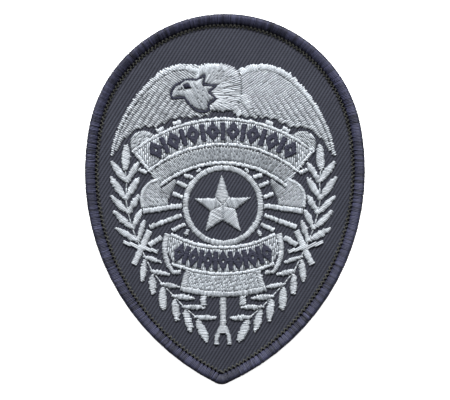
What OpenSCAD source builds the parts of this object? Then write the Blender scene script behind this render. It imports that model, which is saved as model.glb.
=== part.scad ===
// Embroidered badge patch: a drop-shaped twill base, a wound border and raised
// satin embroidery of an eagle, banners, a ringed star and a laurel wreath.
// The patch lies flat in the XY plane. +Z leaves the embroidered face, +Y points to
// the round top, and the origin is the middle of the underside.

/* [Patch] */
// Height from the tip to the round top
patch_h = 88.9; // [86:0.1:92]
// Radius of the round top
top_r = 33.18; // [33:0.01:33.5]
// Angle above level at which the round top runs into the sides
shoulder_a = 11.3; // [9:0.1:13]
// Radius of the bottom tip
tip_r = 3.2; // [3.1:0.1:3.6]
// How far the bottom tip stands off the middle
tip_x = -0.8; // [-1.2:0.1:1.2]

/* [Base] */
// Thickness of the twill with its backing
base_t = 1.3; // [1.2:0.1:1.6]
// Thickness of the base's edge, where the border wraps it
flange_t = 0.4; // [0.3:0.1:0.5]
// Height of that edge above the underside
flange_z = 0.45; // [0.4:0.05:0.6]

/* [Border] */
// Width of the wound border
border_w = 3.0; // [2.8:0.1:3.1]
// Thickness of the wound border
border_t = 2.6; // [2.4:0.1:2.8]
// Radius of the border's crown across its width
crown_r = 2.25; // [2:0.05:3]
// How far the base's edge reaches into the border
grip = 0.8; // [0.5:0.1:1]

/* [Embroidery] */
// Middle of the ring, across the patch
art_x = -0.45; // [-0.6:0.05:0.1]
// Middle of the ring, along the patch
art_y = -1.55; // [-1.7:0.05:-1.4]
// Height of the filled fields
fill_h = 0.45; // [0.4:0.05:0.6]
// Height of the satin columns
satin_h = 0.65; // [0.5:0.05:0.8]
// Height of the leaves at their middle
leaf_h = 0.7; // [0.5:0.05:0.8]
// Height of the navy motifs above the field that carries them
mark_h = 0.35; // [0.3:0.05:0.4]
// Gap between one sewn piece and the next
gap = 0.1; // [0.08:0.01:0.12]

/* [Ring and star] */
// Outer radius of the ring
ring_r = 9.65; // [9.5:0.05:9.7]
// Width of the ring
ring_w = 1.25; // [1.1:0.05:1.4]
// Height of the star at its middle
star_h = 0.8; // [0.7:0.05:0.9]

/* [Upper banner] */
// Distance from the ring's middle down to the banner's centre
upper_drop = 13.35; // [13.3:0.05:13.4]
// Outer radius of the banner
upper_r = 34.35; // [34.3:0.05:34.4]
// Inner radius of the banner, where the plain ribbon begins
upper_in_r = 28.0; // [27.9:0.1:28.1]
// Inner radius of the plain ribbon
ribbon_in_r = 23.2; // [23.1:0.1:23.3]
// Angle from upright to the banner's ends
upper_a = 39.7; // [39.5:0.1:39.8]
// Width of the banner's satin edging
rim_w = 0.7; // [0.6:0.05:0.8]
// Number of navy motifs on the upper banner
upper_marks = 8; // [6:1:9]

/* [Lower banner and plaque] */
// Distance from the ring's middle up to the lower banner's centre
lower_rise = 15.25; // [15.2:0.05:15.5]
// Inner radius of the lower banner, its upper edge
lower_in_r = 25.0; // [24.9:0.1:25.1]
// Outer radius of the lower banner, its lower edge
lower_r = 32.0; // [31.9:0.1:32.1]
// Number of navy motifs on the lower banner
lower_marks = 7; // [5:1:7]
// Outer radius of the plaque
plaque_r = 37.1; // [37:0.1:37.3]
// Angle from upright to the plaque's ends
plaque_a = 16.2; // [16:0.1:16.4]
// Width of the plaque's satin edging
plaque_rim_w = 1.2; // [1:0.1:1.3]

/* [Eagle] */
// Radius of the wing's hump
hump_r = 10.7; // [10.5:0.1:10.9]
// Radius of the wing's long leading edge
leading_r = 31.2; // [31:0.1:31.4]
// Width of the leading ridge at the hump
ridge_w = 1.4; // [1.2:0.1:1.5]
// Width of the leading ridge at the wing's tip
ridge_tip_w = 0.6; // [0.5:0.1:0.8]
// Depth of the notch between two feather tips
notch = 0.75; // [0.5:0.05:0.9]
// Width of the navy line round the head
line_w = 0.4; // [0.35:0.05:0.5]

/* [Hidden] */
$fn = 180;
SIDES = ["left", "right"];
SPRIG_COUNT = 11;

NAVY = "#34344c";
TWILL = "#42434d";
SILVER = "#b4bcc4";
GREY = "#98a2a4";

// Steps of the outline's arcs: half of the round top, one side, and the tip
top_steps = 18;
side_steps = 16;
tip_steps = 5;
// Where the round top's points begin, and the angles left out where one arc meets the next
top_start_a = 86;
side_skip_a = 2;
tip_skip_a = 8;
// Steps round the border's outer roll and over its crown, and where the crown's arc begins
roll_steps = 8;
crown_steps = 3;
crown_start_a = 78;
// Steps of the wing's hump and of its long leading edge
hump_steps = 12;
leading_steps = 14;

// Every sewn piece lies this far above the cloth
sewn_gap = 0.05;
sewn_z = base_t + sewn_gap;
mark_z = sewn_z + fill_h + sewn_gap;
// How much of a lozenge is left open, and the length of a bar against a lozenge's height
lozenge_open = 0.32;
bar_share = 0.86;
upper_c = [0, -upper_drop];
lower_c = [0, lower_rise];

// The wing's two leading arcs meet where the hump ends
hump_c = [9.0, 23.15];
hump_end_a = 51;
hump_start_a = 128;
wing_end_a = 9;
leading_c = hump_c + (hump_r - leading_r) * dir(hump_end_a);

// Tips of the feathers from the wing's tip to the body, right wing
// [x, y, angle of the feather]
FEATHERS = [
    [25.6, 13.2, -68],
    [23.4, 16.1, -66],
    [20.2, 18.4, -62],
    [17.9, 18.6, -58],
    [16.2, 18.8, -57],
    [14.3, 19.6, -56],
    [11.6, 20.8, -55],
    [9.7, 21.0, -54],
    [7.8, 21.0, -54],
    [5.8, 21.0, -54],
    [3.8, 21.3, -54]
];

// The eagle's head from the beak's tip, over the crown and round the neck's locks
// [x, y]
HEAD = [
    [-12.1, 25.7], [-12.5, 26.5], [-12.1, 27.8], [-11.4, 28.8],
    [-9.9, 29.6], [-9.0, 30.1], [-7.7, 30.2], [-6.3, 30.1],
    [-4.4, 31.2], [-4.7, 28.9], [-1.7, 28.7], [-3.4, 27.1],
    [-1.7, 25.6], [-3.5, 24.3], [-3.3, 22.8], [-4.6, 22.4],
    [-5.7, 22.5], [-6.9, 23.1], [-8.1, 24.3], [-9.2, 25.8],
    [-10.6, 25.9], [-11.7, 25.6]
];
EYE = [[-9.5, 29.2], [-8.6, 29.2], [-7.9, 28.9], [-7.9, 28.2], [-9.1, 28.0], [-9.5, 28.4]];
beak_knob = [-10.5, 28.2];
beak_knob_r = 0.6;

chest_c = [-1.1, 28.15];
chest_size = [5.6, 5.8];
chest_power = 2.6;
chest_foot = 22.8;

// Rays between the ring and the ribbons, right side
// [inner x, inner y, inner width, outer x, outer y, outer width]
RAYS = [
    [5.6, 8.2, 1.0, 5.9, 8.6, 0.9],
    [7.4, 6.7, 1.0, 9.2, 7.3, 0.8],
    [8.8, 4.6, 0.95, 10.9, 5.6, 0.8],
    [9.85, 2.05, 0.9, 11.9, 2.8, 0.95],
    [9.95, -0.05, 1.05, 19.05, -1.35, 1.25],
    [10.0, -2.35, 0.9, 17.5, -5.2, 1.1],
    [9.15, -4.45, 0.8, 12.1, -5.95, 0.9],
    [14.75, -7.7, 1.15, 17.6, -9.4, 1.2],
    [8.35, -6.0, 0.8, 9.05, -7.1, 0.85]
];

// Leaves of the wreath from the top down, right side
// [root x, root y, outer length, outer angle, outer width, inner length, inner angle, inner width]
SPRIGS = [
    [23.1, 5.6, 6.1, 53, 1.65, 5.4, 121, 1.55],
    [23.3, 1.5, 6.4, 55, 1.65, 6.0, 121, 1.6],
    [22.7, -1.9, 5.9, 45, 1.45, 5.0, 119, 1.45],
    [21.7, -5.6, 6.2, 43, 1.45, 5.0, 115, 1.45],
    [20.4, -8.6, 6.2, 31, 1.45, 5.2, 107, 1.4],
    [18.7, -12.3, 5.9, -84, 1.6, 4.2, 198, 1.05],
    [17.0, -15.7, 5.6, -92, 1.7, 4.2, 192, 1.15],
    [14.6, -18.8, 6.2, -94, 1.85, 4.2, 190, 1.1],
    [11.8, -21.7, 6.0, -98, 1.75, 5.0, 186, 1.2],
    [9.4, -24.3, 6.2, -107, 1.7, 5.1, 181, 1.15],
    [6.5, -26.7, 6.5, -115, 1.95, 4.7, 184, 1.2]
];
// Where the outer and the inner leaf begin, along each, from the root: on the sprigs above the
// tie, and on those below it, whose inner leaf caps the outer one
upper_count = 5;
upper_starts = [0.1, 0.85];
lower_starts = [0.85, -0.35];
top_leaf = [23.4, 8.4, 6.2, 92, 2.05];
leaf_steps = 8;
// Length of the whole spindle against the leaf, whose two ends are cut off blunt
leaf_whole = 1.18;
// Height of a leaf against its width, at most
leaf_slim = 0.44;

// Widths and routes of the single satin strokes, right side
TIE = [[24.0, -8.7], [19.7, -10.05], [15.6, -11.05]];
tie_w = 0.85;
CROSSING = [[17.6, -6.1], [21.3, -14.1]];
crossing_w = 1.45;
SCROLL_BOTTOM = [
    [13.3, -6.9], [13.9, -9.0], [13.95, -11.1], [13.55, -13.0],
    [12.85, -14.7], [11.9, -15.9], [10.2, -15.95]
];
scroll_w = 1.25;
scroll_tail_w = 0.75;
BRACKET = [[4.7, -21.75], [4.7, -23.85]];
bracket_w = 1.4;
bracket_sprig = 10;
TWIG = [[20.1, 8.6], [18.4, 7.8]];
twig_w = 0.9;
twig_sprig = 1;

// Outlines of the ribbon's turned ends, right side
RIBBON_LOBE = [
    [16.4, 6.25], [17.3, 5.95], [18.3, 5.1], [19.25, 3.9],
    [19.7, 2.5], [19.65, 1.0], [19.4, -0.62], [13.25, 0.2],
    [13.3, 1.5], [14.85, 2.2], [14.95, 3.4], [14.9, 4.15]
];
RIBBON_FOLD = [[14.6, 4.1], [11.7, 6.2], [11.3, 5.5], [12.2, 3.5], [13.1, 1.62], [14.7, 2.32], [14.8, 3.4]];
// Corners of the star, which is sewn a little askew, from its top point round to the left
STAR = [
    [-0.3, 7.5], [-2.0, 1.75], [-6.85, 1.65], [-3.05, -1.25], [-4.2, -6.15],
    [-0.15, -3.45], [4.2, -6.1], [2.95, -0.95], [6.6, 1.9], [1.5, 1.8]
];
// Half of the forked stem's outline, from the plaque down and back up to the arch
FORK = [
    [0.72, -22.1], [0.72, -28.7], [1.05, -29.2], [1.4, -29.9],
    [1.75, -30.7], [2.0, -31.7], [2.1, -33.3], [1.05, -33.3],
    [1.05, -32.0], [0.85, -31.1], [0.4, -30.5]
];

// A unit direction, and the points of an arc
function dir(a) = [cos(a), sin(a)];
function arc(c, r, a0, a1, n) = [for (i = [0:n]) c + r * dir(a0 + (a1 - a0) * i / n)];
function flip(points) = [for (p = points) [-p.x, p.y]];
function backwards(points) = [for (i = [len(points) - 1:-1:0]) points[i]];

// The outline: each side is one arc that touches the round top and the tip's arc
top_c = [0, patch_h / 2 - top_r];
function tip_c(s) = [s * tip_x, tip_r - patch_h / 2];
function side_r(s) =
    let (u = dir(shoulder_a), v = top_c + top_r * u - tip_c(s))
    (v * v - tip_r * tip_r) / (2 * (v * u - tip_r));
function side_c(s) = top_c + (top_r - side_r(s)) * dir(shoulder_a);
function side_end_a(s) = let (w = tip_c(s) - side_c(s)) atan2(w.y, w.x);
function side_width(s) = side_c(s).x + side_r(s);
middle_x = (side_width(1) - side_width(-1)) / 2;

// Half of the outline, inset, from beside the top to the tip
function half_outline(s, inset) = concat(
    arc(top_c, top_r - inset, top_start_a, shoulder_a, top_steps),
    arc(side_c(s), side_r(s) - inset, shoulder_a - side_skip_a, side_end_a(s), side_steps)
);
function outline(inset) = concat(
    [[0, patch_h / 2 - inset]],
    half_outline(1, inset),
    arc(tip_c(1), tip_r - inset, side_end_a(1) - tip_skip_a, tip_skip_a - 180 - side_end_a(-1), tip_steps),
    backwards(flip(half_outline(-1, inset)))
);

// Cross-section of the border, from the outer edge inwards, with the groove for the base
edge_r = border_t / 2;
crown_end_a = acos((border_w - edge_r) / crown_r);
groove_z = [flange_z - sewn_gap, flange_z + flange_t + sewn_gap];
border_section = concat(
    arc([edge_r, edge_r], edge_r, 270, 90, roll_steps),
    arc([edge_r, border_t - crown_r], crown_r, crown_start_a, crown_end_a, crown_steps),
    [[border_w, groove_z[1]], [border_w - grip, groove_z[1]]],
    [[border_w - grip, groove_z[0]], [border_w, groove_z[0]], [border_w, 0]]
);

// A point of a smooth curve through four neighbours
function blend(a, b, c, d, t) =
    0.5 * (2 * b + (c - a) * t + (2 * a - 5 * b + 4 * c - d) * t * t + (3 * b - a - 3 * c + d) * t * t * t);
function curve(p, steps) = let (last = len(p) - 1) concat(
    [for (i = [0:last - 1], k = [0:steps - 1])
        blend(p[max(i - 1, 0)], p[i], p[i + 1], p[min(i + 2, last)], k / steps)],
    [p[last]]
);

// A satin stroke along a route, from one width to another
function across(p, i) =
    let (d = p[min(i + 1, len(p) - 1)] - p[max(i - 1, 0)])
    [-d.y, d.x] / norm(d);
function stroke(p, w0, w1) = let (last = len(p) - 1) concat(
    [for (i = [0:last]) p[i] + across(p, i) * (w0 + (w1 - w0) * i / last) / 2],
    [for (i = [last:-1:0]) p[i] - across(p, i) * (w0 + (w1 - w0) * i / last) / 2]
);

// Puts a flat shape on the cloth as a raised piece, in the embroidery's own frame
module sewn(h, z = sewn_z) {
    translate([art_x, art_y, z])
    linear_extrude(h)
    children();
}

module on_side(s) {
    mirror([s == "left" ? 1 : 0, 0, 0])
    children();
}

// A raised band between two radii about a centre, between two angles
module arc_band(c, r0, r1, a0, a1, h) {
    translate([art_x + c.x, art_y + c.y, sewn_z])
    rotate([0, 0, a0])
    rotate_extrude(angle = a1 - a0)
    translate([r0, 0])
    square([r1 - r0, h]);
}

// A leaf: a spindle laid down, cut off at the cloth and at both ends. A narrow one is lower
module leaf(x, y, len, angle, w, start) {
    l = len - start;
    whole = l * leaf_whole;
    h = min(leaf_h, leaf_slim * w);
    round_r = (w * w / 4 + h * h) / (2 * h);
    sink = round_r - h;
    bow_r = (whole * whole / 4 + h * h) / (2 * h);
    bow = [for (i = [0:leaf_steps]) let (t = whole * (i / leaf_steps - 0.5))
        [sink + sqrt(bow_r * bow_r - t * t) - bow_r + h, t]];
    translate([x, y, 0])
    rotate([0, 0, angle])
    translate([start + l / 2, 0, 0])
    intersection() {
        translate([0, 0, -sink])
        rotate([0, 90, 0])
        rotate_extrude()
        polygon(concat([[0, -whole / 2]], bow, [[0, whole / 2]]));
        translate([-l / 2, -w, 0])
        cube([l, 2 * w, 2 * h]);
    }
}

// A row of flat motifs along an arc: open lozenges with a bar between each two
// [lozenge width, lozenge height, bar width]
module motif_row(c, r, middle_a, step, count, size) {
    translate(c)
    for (i = [0:count - 1])
        rotate([0, 0, middle_a + step * (i - (count - 1) / 2) - 90]) {
            translate([0, r])
            difference() {
                lozenge(size.x, size.y);
                scale(lozenge_open)
                lozenge(size.x, size.y);
            }
            if (i > 0)
                rotate([0, 0, -step / 2])
                translate([0, r])
                square([size.z, size.y * bar_share], center = true);
        }
}

module lozenge(w, h) {
    polygon([[w / 2, 0], [0, h / 2], [-w / 2, 0], [0, -h / 2]]);
}

// Wing outlines, right side
function ridge_width(t) = ridge_w + (ridge_tip_w - ridge_w) * t;
function leading_edge(inset) = concat(
    arc(hump_c, hump_r - inset, hump_start_a, hump_end_a, hump_steps),
    [for (i = [1:leading_steps])
        let (t = i / leading_steps, a = hump_end_a + (wing_end_a - hump_end_a) * t)
        leading_c + (leading_r - (inset > 0 ? inset + ridge_width(t) - ridge_w : 0)) * dir(a)]
);
function feather_tip(f) = let (side = [-sin(f.z), cos(f.z)] * tip_half)
    [[f.x, f.y] + side, [f.x, f.y] - side];
// Half of the blunt end of a feather, where the field leaves the leading edge, and the wing's root
tip_half = 0.3;
last_leading = hump_steps + leading_steps - 2;
WING_ROOT = [[2.6, 23.1], [0.5, 24.5]];
function feather_notch(f, g) = [f.x + g.x, f.y + g.y] / 2 - notch * dir((f.z + g.z) / 2);
wing_shape = concat(
    [for (i = [0:last_leading]) leading_edge(ridge_w + gap)[i]],
    [for (i = [0:len(FEATHERS) - 1]) each concat(
        feather_tip(FEATHERS[i]),
        i < len(FEATHERS) - 1 ? [feather_notch(FEATHERS[i], FEATHERS[i + 1])] : [])],
    WING_ROOT
);
chest_shape = [for (a = [0:6:354])
    chest_c + [
        chest_size.x * sign(cos(a)) * pow(abs(cos(a)), 2 / chest_power),
        max(chest_size.y * sign(sin(a)) * pow(abs(sin(a)), 2 / chest_power), chest_foot - chest_c.y)
    ]];

// The room that the head takes from the pieces behind it
module head_room() {
    offset(delta = line_w / 2 + gap)
    polygon(HEAD);
}

module chest_room() {
    offset(delta = gap)
    polygon(chest_shape);
}

// The twill panel, with a thinner edge that the border wraps
module twill_base() {
    color(TWILL)
    translate([-middle_x, 0, 0]) {
        linear_extrude(base_t)
        polygon(outline(border_w + sewn_gap));
        translate([0, 0, flange_z])
        linear_extrude(flange_t)
        polygon(outline(border_w - grip + sewn_gap));
    }
}

// The wound border: its cross-section carried round the outline
module border() {
    around = len(outline(0));
    rings = len(border_section);
    color(NAVY)
    translate([-middle_x, 0, 0])
    polyhedron(
        points = [for (p = border_section, q = outline(p.x)) [q.x, q.y, p.y]],
        faces = [
            for (k = [0:rings - 1], j = [0:around - 1])
            let (
                here = k * around,
                next = (k + 1) % rings * around,
                on = (j + 1) % around
            )
            each [[here + j, next + j, next + on], [here + j, next + on, here + on]]
        ]
    );
}

module wing(s) {
    color(SILVER)
    sewn(fill_h)
    difference() {
        on_side(s)
        polygon(wing_shape);
        chest_room();
        head_room();
    }
}

module wing_ridge(s) {
    color(SILVER)
    sewn(satin_h)
    difference() {
        on_side(s)
        polygon(concat(leading_edge(0), backwards(leading_edge(ridge_w))));
        chest_room();
        head_room();
    }
}

module chest() {
    color(SILVER)
    sewn(satin_h)
    difference() {
        polygon(chest_shape);
        head_room();
    }
}

// The head's filled face, with the raised knob at the root of the beak
module head() {
    color(GREY)
    sewn(satin_h)
    difference() {
        offset(delta = -line_w / 2 - gap)
        polygon(HEAD);
        offset(delta = gap)
        polygon(EYE);
        translate(beak_knob)
        circle(beak_knob_r + gap);
    }
    color(SILVER)
    sewn(satin_h + gap)
    translate(beak_knob)
    circle(beak_knob_r);
}

module head_outline() {
    color(NAVY)
    sewn(satin_h + gap)
    difference() {
        offset(delta = line_w / 2)
        polygon(HEAD);
        offset(delta = -line_w / 2)
        polygon(HEAD);
    }
}

module eye() {
    color(NAVY)
    sewn(satin_h + gap)
    polygon(EYE);
}

// The upper banner's field between its edgings
end_w_a = 1.3;
end_gap_a = 0.2;
upper_end_a = upper_a - end_w_a - end_gap_a;
module banner_top() {
    color(SILVER)
    arc_band(upper_c, upper_in_r + rim_w / 2 + gap, upper_r - rim_w - gap,
        90 - upper_end_a, 90 + upper_end_a, fill_h);
}

// The edging: upper and lower lines, both ends, and two small tabs on each shoulder
tab_h = 1.0;
tab_half_a = 1.4;
TABS = [-25.6, -18.4, 18.4, 25.6];
module banner_top_rim() {
    color(SILVER) {
        arc_band(upper_c, upper_r - rim_w, upper_r, 90 - upper_a, 90 + upper_a, satin_h);
        arc_band(upper_c, upper_in_r - rim_w / 2, upper_in_r + rim_w / 2, 90 - upper_a, 90 + upper_a, satin_h);
        for (a = [90 - upper_a, 90 + upper_a - end_w_a])
            arc_band(upper_c, upper_in_r + rim_w / 2 + gap, upper_r - rim_w - gap, a, a + end_w_a, satin_h);
        for (a = TABS)
            arc_band(upper_c, upper_r + gap, upper_r + tab_h, 90 + a - tab_half_a, 90 + a + tab_half_a, satin_h);
    }
}

upper_mark_step = 8.9;
upper_mark_size = [3.3, 4.6, 1.0];
module top_marks() {
    color(NAVY)
    sewn(mark_h, mark_z)
    motif_row(upper_c, (upper_in_r + upper_r) / 2, 90, upper_mark_step, upper_marks, upper_mark_size);
}

// The plain ribbon under the banner, and the satin line along its lower edge
module ribbon_band() {
    color(GREY)
    arc_band(upper_c, ribbon_in_r + rim_w + gap, upper_in_r - rim_w / 2 - gap, 90 - upper_a, 90 + upper_a, fill_h);
}

module band_rim() {
    color(SILVER)
    arc_band(upper_c, ribbon_in_r, ribbon_in_r + rim_w, 90 - upper_a, 90 + upper_a, satin_h);
}

// The rolled end above the banner: a round lobe down to the banner's outer edge
scroll_c = [19.0, 14.6];
scroll_r = 3.2;
scroll_turn_a = 136;
scroll_start_a = 29.4;
module scroll_top(s) {
    color(SILVER)
    sewn(satin_h)
    on_side(s)
    polygon(concat(
        arc(scroll_c, scroll_r, 0, scroll_turn_a, 16),
        arc(upper_c, upper_r + gap, 90 - scroll_start_a, 90 - upper_a + end_gap_a, 5)
    ));
}

module ribbon_lobe(s) {
    color(SILVER)
    sewn(fill_h)
    on_side(s)
    polygon(RIBBON_LOBE);
}

module ribbon_fold(s) {
    color(GREY)
    sewn(fill_h)
    on_side(s)
    polygon(RIBBON_FOLD);
}

// The ring's bevels: how high its two edges stand against its top
ring_shoulder = 0.6;
module ring() {
    color(SILVER)
    translate([art_x, art_y, sewn_z])
    rotate_extrude()
    polygon([
        [ring_r - ring_w, 0], [ring_r, 0], [ring_r, satin_h * ring_shoulder],
        [ring_r - ring_w / 3, satin_h], [ring_r - ring_w * 2 / 3, satin_h], [ring_r - ring_w, satin_h * ring_shoulder]
    ]);
}

// The star: ten corners at the cloth, the same ten above, and a raised middle
module star() {
    color(SILVER)
    translate([art_x, art_y, sewn_z])
    polyhedron(
        points = concat(
            [for (p = STAR) [p.x, p.y, 0]],
            [for (p = STAR) [p.x, p.y, fill_h]],
            [[0, 0, 0], [0, 0, star_h]]
        ),
        faces = [for (i = [0:9]) let (j = (i + 1) % 10) each [
            [20, i, j], [i, i + 10, j + 10], [i, j + 10, j], [21, j + 10, i + 10]
        ]]
    );
}

module rays(s) {
    color(SILVER)
    sewn(satin_h)
    on_side(s)
    for (r = RAYS)
        polygon(stroke([[r[0], r[1]], [r[3], r[4]]], r[2], r[5]));
}

// The lower banner's field: two arcs about the banner's centre and bowed sides
lower_top_a = 29.2;
lower_foot_a = 22.6;
lower_side_x = 13.1;
lower_side_y = [-9.6, -11.4];
module banner_bottom() {
    color(SILVER)
    sewn(fill_h)
    polygon(concat(
        arc(lower_c, lower_in_r + rim_w + gap, 270 - lower_top_a, 270 + lower_top_a, 20),
        [for (y = lower_side_y) [lower_side_x, y]],
        arc(lower_c, lower_r - rim_w - gap, 270 + lower_foot_a, 270 - lower_foot_a, 20),
        [for (y = lower_side_y) [-lower_side_x, lower_side_y[0] + lower_side_y[1] - y]]
    ));
}

module banner_bottom_rim() {
    color(SILVER) {
        arc_band(lower_c, lower_in_r, lower_in_r + rim_w, 270 - lower_top_a, 270 + lower_top_a, satin_h);
        arc_band(lower_c, lower_r - rim_w, lower_r, 270 - lower_foot_a, 270 + lower_foot_a, satin_h);
    }
}

lower_mark_step = 7.2;
lower_mark_size = [2.6, 4.9, 0.95];
module bottom_marks() {
    color(NAVY)
    sewn(mark_h, mark_z)
    motif_row(lower_c, (lower_in_r + lower_r) / 2, 270, lower_mark_step, lower_marks, lower_mark_size);
}

module scroll_bottom(s) {
    color(SILVER)
    sewn(satin_h)
    on_side(s)
    polygon(stroke(curve(SCROLL_BOTTOM, 3), scroll_w, scroll_tail_w));
}

// The plain plaque under the lower banner, edged below and at both ends
plaque_end_w_a = 2.1;
plaque_end_a = plaque_a - plaque_end_w_a - end_gap_a;
module plaque() {
    color(GREY)
    arc_band(lower_c, lower_r + gap, plaque_r - plaque_rim_w - gap, 270 - plaque_end_a, 270 + plaque_end_a,
        fill_h);
}

module plaque_rim() {
    color(SILVER) {
        arc_band(lower_c, plaque_r - plaque_rim_w, plaque_r, 270 - plaque_a, 270 + plaque_a, satin_h);
        for (a = [270 - plaque_a, 270 + plaque_a - plaque_end_w_a])
            arc_band(lower_c, lower_r + gap, plaque_r - plaque_rim_w - gap, a, a + plaque_end_w_a, satin_h);
    }
}

module fork() {
    color(SILVER)
    sewn(satin_h)
    polygon(concat(FORK, backwards(flip(FORK))));
}

// The wreath
module leaf_top(s) {
    color(SILVER)
    translate([art_x, art_y, sewn_z])
    on_side(s)
    leaf(top_leaf[0], top_leaf[1], top_leaf[2], top_leaf[3], top_leaf[4], 0);
}

module tie(s) {
    color(SILVER)
    sewn(satin_h)
    on_side(s)
    union() {
        polygon(stroke(TIE, tie_w, tie_w));
        polygon(stroke(CROSSING, crossing_w, crossing_w));
    }
}

// Two leaves from one root, and the short strokes that two of the sprigs carry
module sprig(i, s) {
    leaves = SPRIGS[i - 1];
    starts = i > upper_count ? lower_starts : upper_starts;
    color(SILVER) {
        translate([art_x, art_y, sewn_z])
        on_side(s) {
            leaf(leaves[0], leaves[1], leaves[2], leaves[3], leaves[4], starts[0]);
            leaf(leaves[0], leaves[1], leaves[5], leaves[6], leaves[7], starts[1]);
        }
        if (i == twig_sprig)
            sewn(satin_h)
            on_side(s)
            polygon(stroke(TWIG, twig_w, twig_w));
        if (i == bracket_sprig)
            sewn(satin_h)
            on_side(s)
            polygon(stroke(BRACKET, bracket_w, bracket_w));
    }
}

twill_base();
border();
chest();
head();
head_outline();
eye();
banner_top();
banner_top_rim();
top_marks();
ribbon_band();
band_rim();
ring();
star();
banner_bottom();
banner_bottom_rim();
bottom_marks();
plaque();
plaque_rim();
fork();
for (s = SIDES) {
    wing(s);
    wing_ridge(s);
    scroll_top(s);
    ribbon_lobe(s);
    ribbon_fold(s);
    rays(s);
    scroll_bottom(s);
    leaf_top(s);
    tie(s);
    for (i = [1:SPRIG_COUNT])
        sprig(i, s);
}
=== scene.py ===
"""Dresses the embroidered badge patch: twill cloth, a wound border and raised thread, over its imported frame.

Sizes are in millimetres and become metres where a mesh is made. The embroidery's own frame starts at the
middle of the ring, with +X to the right as the face is read and +Y to the round top.
"""

import logging
import math
from collections.abc import Iterator
from dataclasses import dataclass, field, replace
from enum import Enum
from typing import Any

import bpy
import numpy as np
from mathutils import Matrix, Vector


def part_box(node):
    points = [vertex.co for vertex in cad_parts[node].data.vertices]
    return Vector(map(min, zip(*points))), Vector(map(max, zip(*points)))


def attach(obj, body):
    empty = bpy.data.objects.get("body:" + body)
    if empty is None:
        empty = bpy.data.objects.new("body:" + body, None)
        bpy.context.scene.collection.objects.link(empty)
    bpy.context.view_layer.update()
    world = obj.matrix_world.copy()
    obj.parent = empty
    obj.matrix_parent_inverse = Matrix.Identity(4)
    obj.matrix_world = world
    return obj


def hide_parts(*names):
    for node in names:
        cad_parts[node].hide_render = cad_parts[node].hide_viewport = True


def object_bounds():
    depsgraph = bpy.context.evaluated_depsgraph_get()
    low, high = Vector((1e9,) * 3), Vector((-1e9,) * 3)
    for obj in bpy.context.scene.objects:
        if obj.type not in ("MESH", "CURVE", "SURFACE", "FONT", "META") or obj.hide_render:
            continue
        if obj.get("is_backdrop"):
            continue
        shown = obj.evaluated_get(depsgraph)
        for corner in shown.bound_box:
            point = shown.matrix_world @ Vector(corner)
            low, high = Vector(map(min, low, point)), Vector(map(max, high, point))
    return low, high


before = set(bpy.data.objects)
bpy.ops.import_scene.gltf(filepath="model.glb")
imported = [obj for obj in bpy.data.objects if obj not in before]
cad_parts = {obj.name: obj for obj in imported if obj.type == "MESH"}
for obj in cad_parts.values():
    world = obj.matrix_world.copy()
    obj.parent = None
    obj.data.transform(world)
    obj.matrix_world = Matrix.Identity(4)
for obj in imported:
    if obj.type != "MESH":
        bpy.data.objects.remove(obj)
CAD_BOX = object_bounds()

MM = 0.001
BODY = "root"
# The patch's two sides, with the sign of X on each
SIDES = {"left": -1, "right": 1}
LOG = logging.getLogger("patch")

Point = tuple[float, float]
Colour = tuple[float, float, float]
Stitches = list[list[float]]
Array = np.ndarray
Random = np.random.Generator
Socket = bpy.types.NodeSocket
Thing = bpy.types.Object


def heading(angle: float) -> Array:
    """Gives the unit vector at an angle in degrees."""
    return np.array([math.cos(math.radians(angle)), math.sin(math.radians(angle))])


def mesh_points(mesh: bpy.types.Mesh) -> Array:
    """Gives a mesh's points.

    Args:
        mesh: the mesh.

    Returns:
        The points in millimetres, points by 3.
    """
    points = np.empty(len(mesh.vertices) * 3)
    mesh.vertices.foreach_get("co", points)
    return points.reshape(-1, 3) / MM


def left_sides(runs: Array) -> Array:
    """Gives the unit vector to the left of each run, from the first two parts of the runs."""
    sides = np.stack([-runs[:, 1], runs[:, 0]], axis=1)
    return sides / np.linalg.norm(sides, axis=1, keepdims=True)


def level_sides(runs: Array) -> Array:
    """Gives the level unit vector to the left of each run."""
    return np.pad(left_sides(runs), ((0, 0), (0, 1)))


def ring_middle() -> Array:
    """Gives the middle of the ring, where the embroidery's own frame starts."""
    low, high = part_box("ring")
    return np.array([low.x + high.x, low.y + high.y]) / 2 / MM


ART = ring_middle()
# The height of the cloth's face
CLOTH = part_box("twill_base")[1].z / MM


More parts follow.
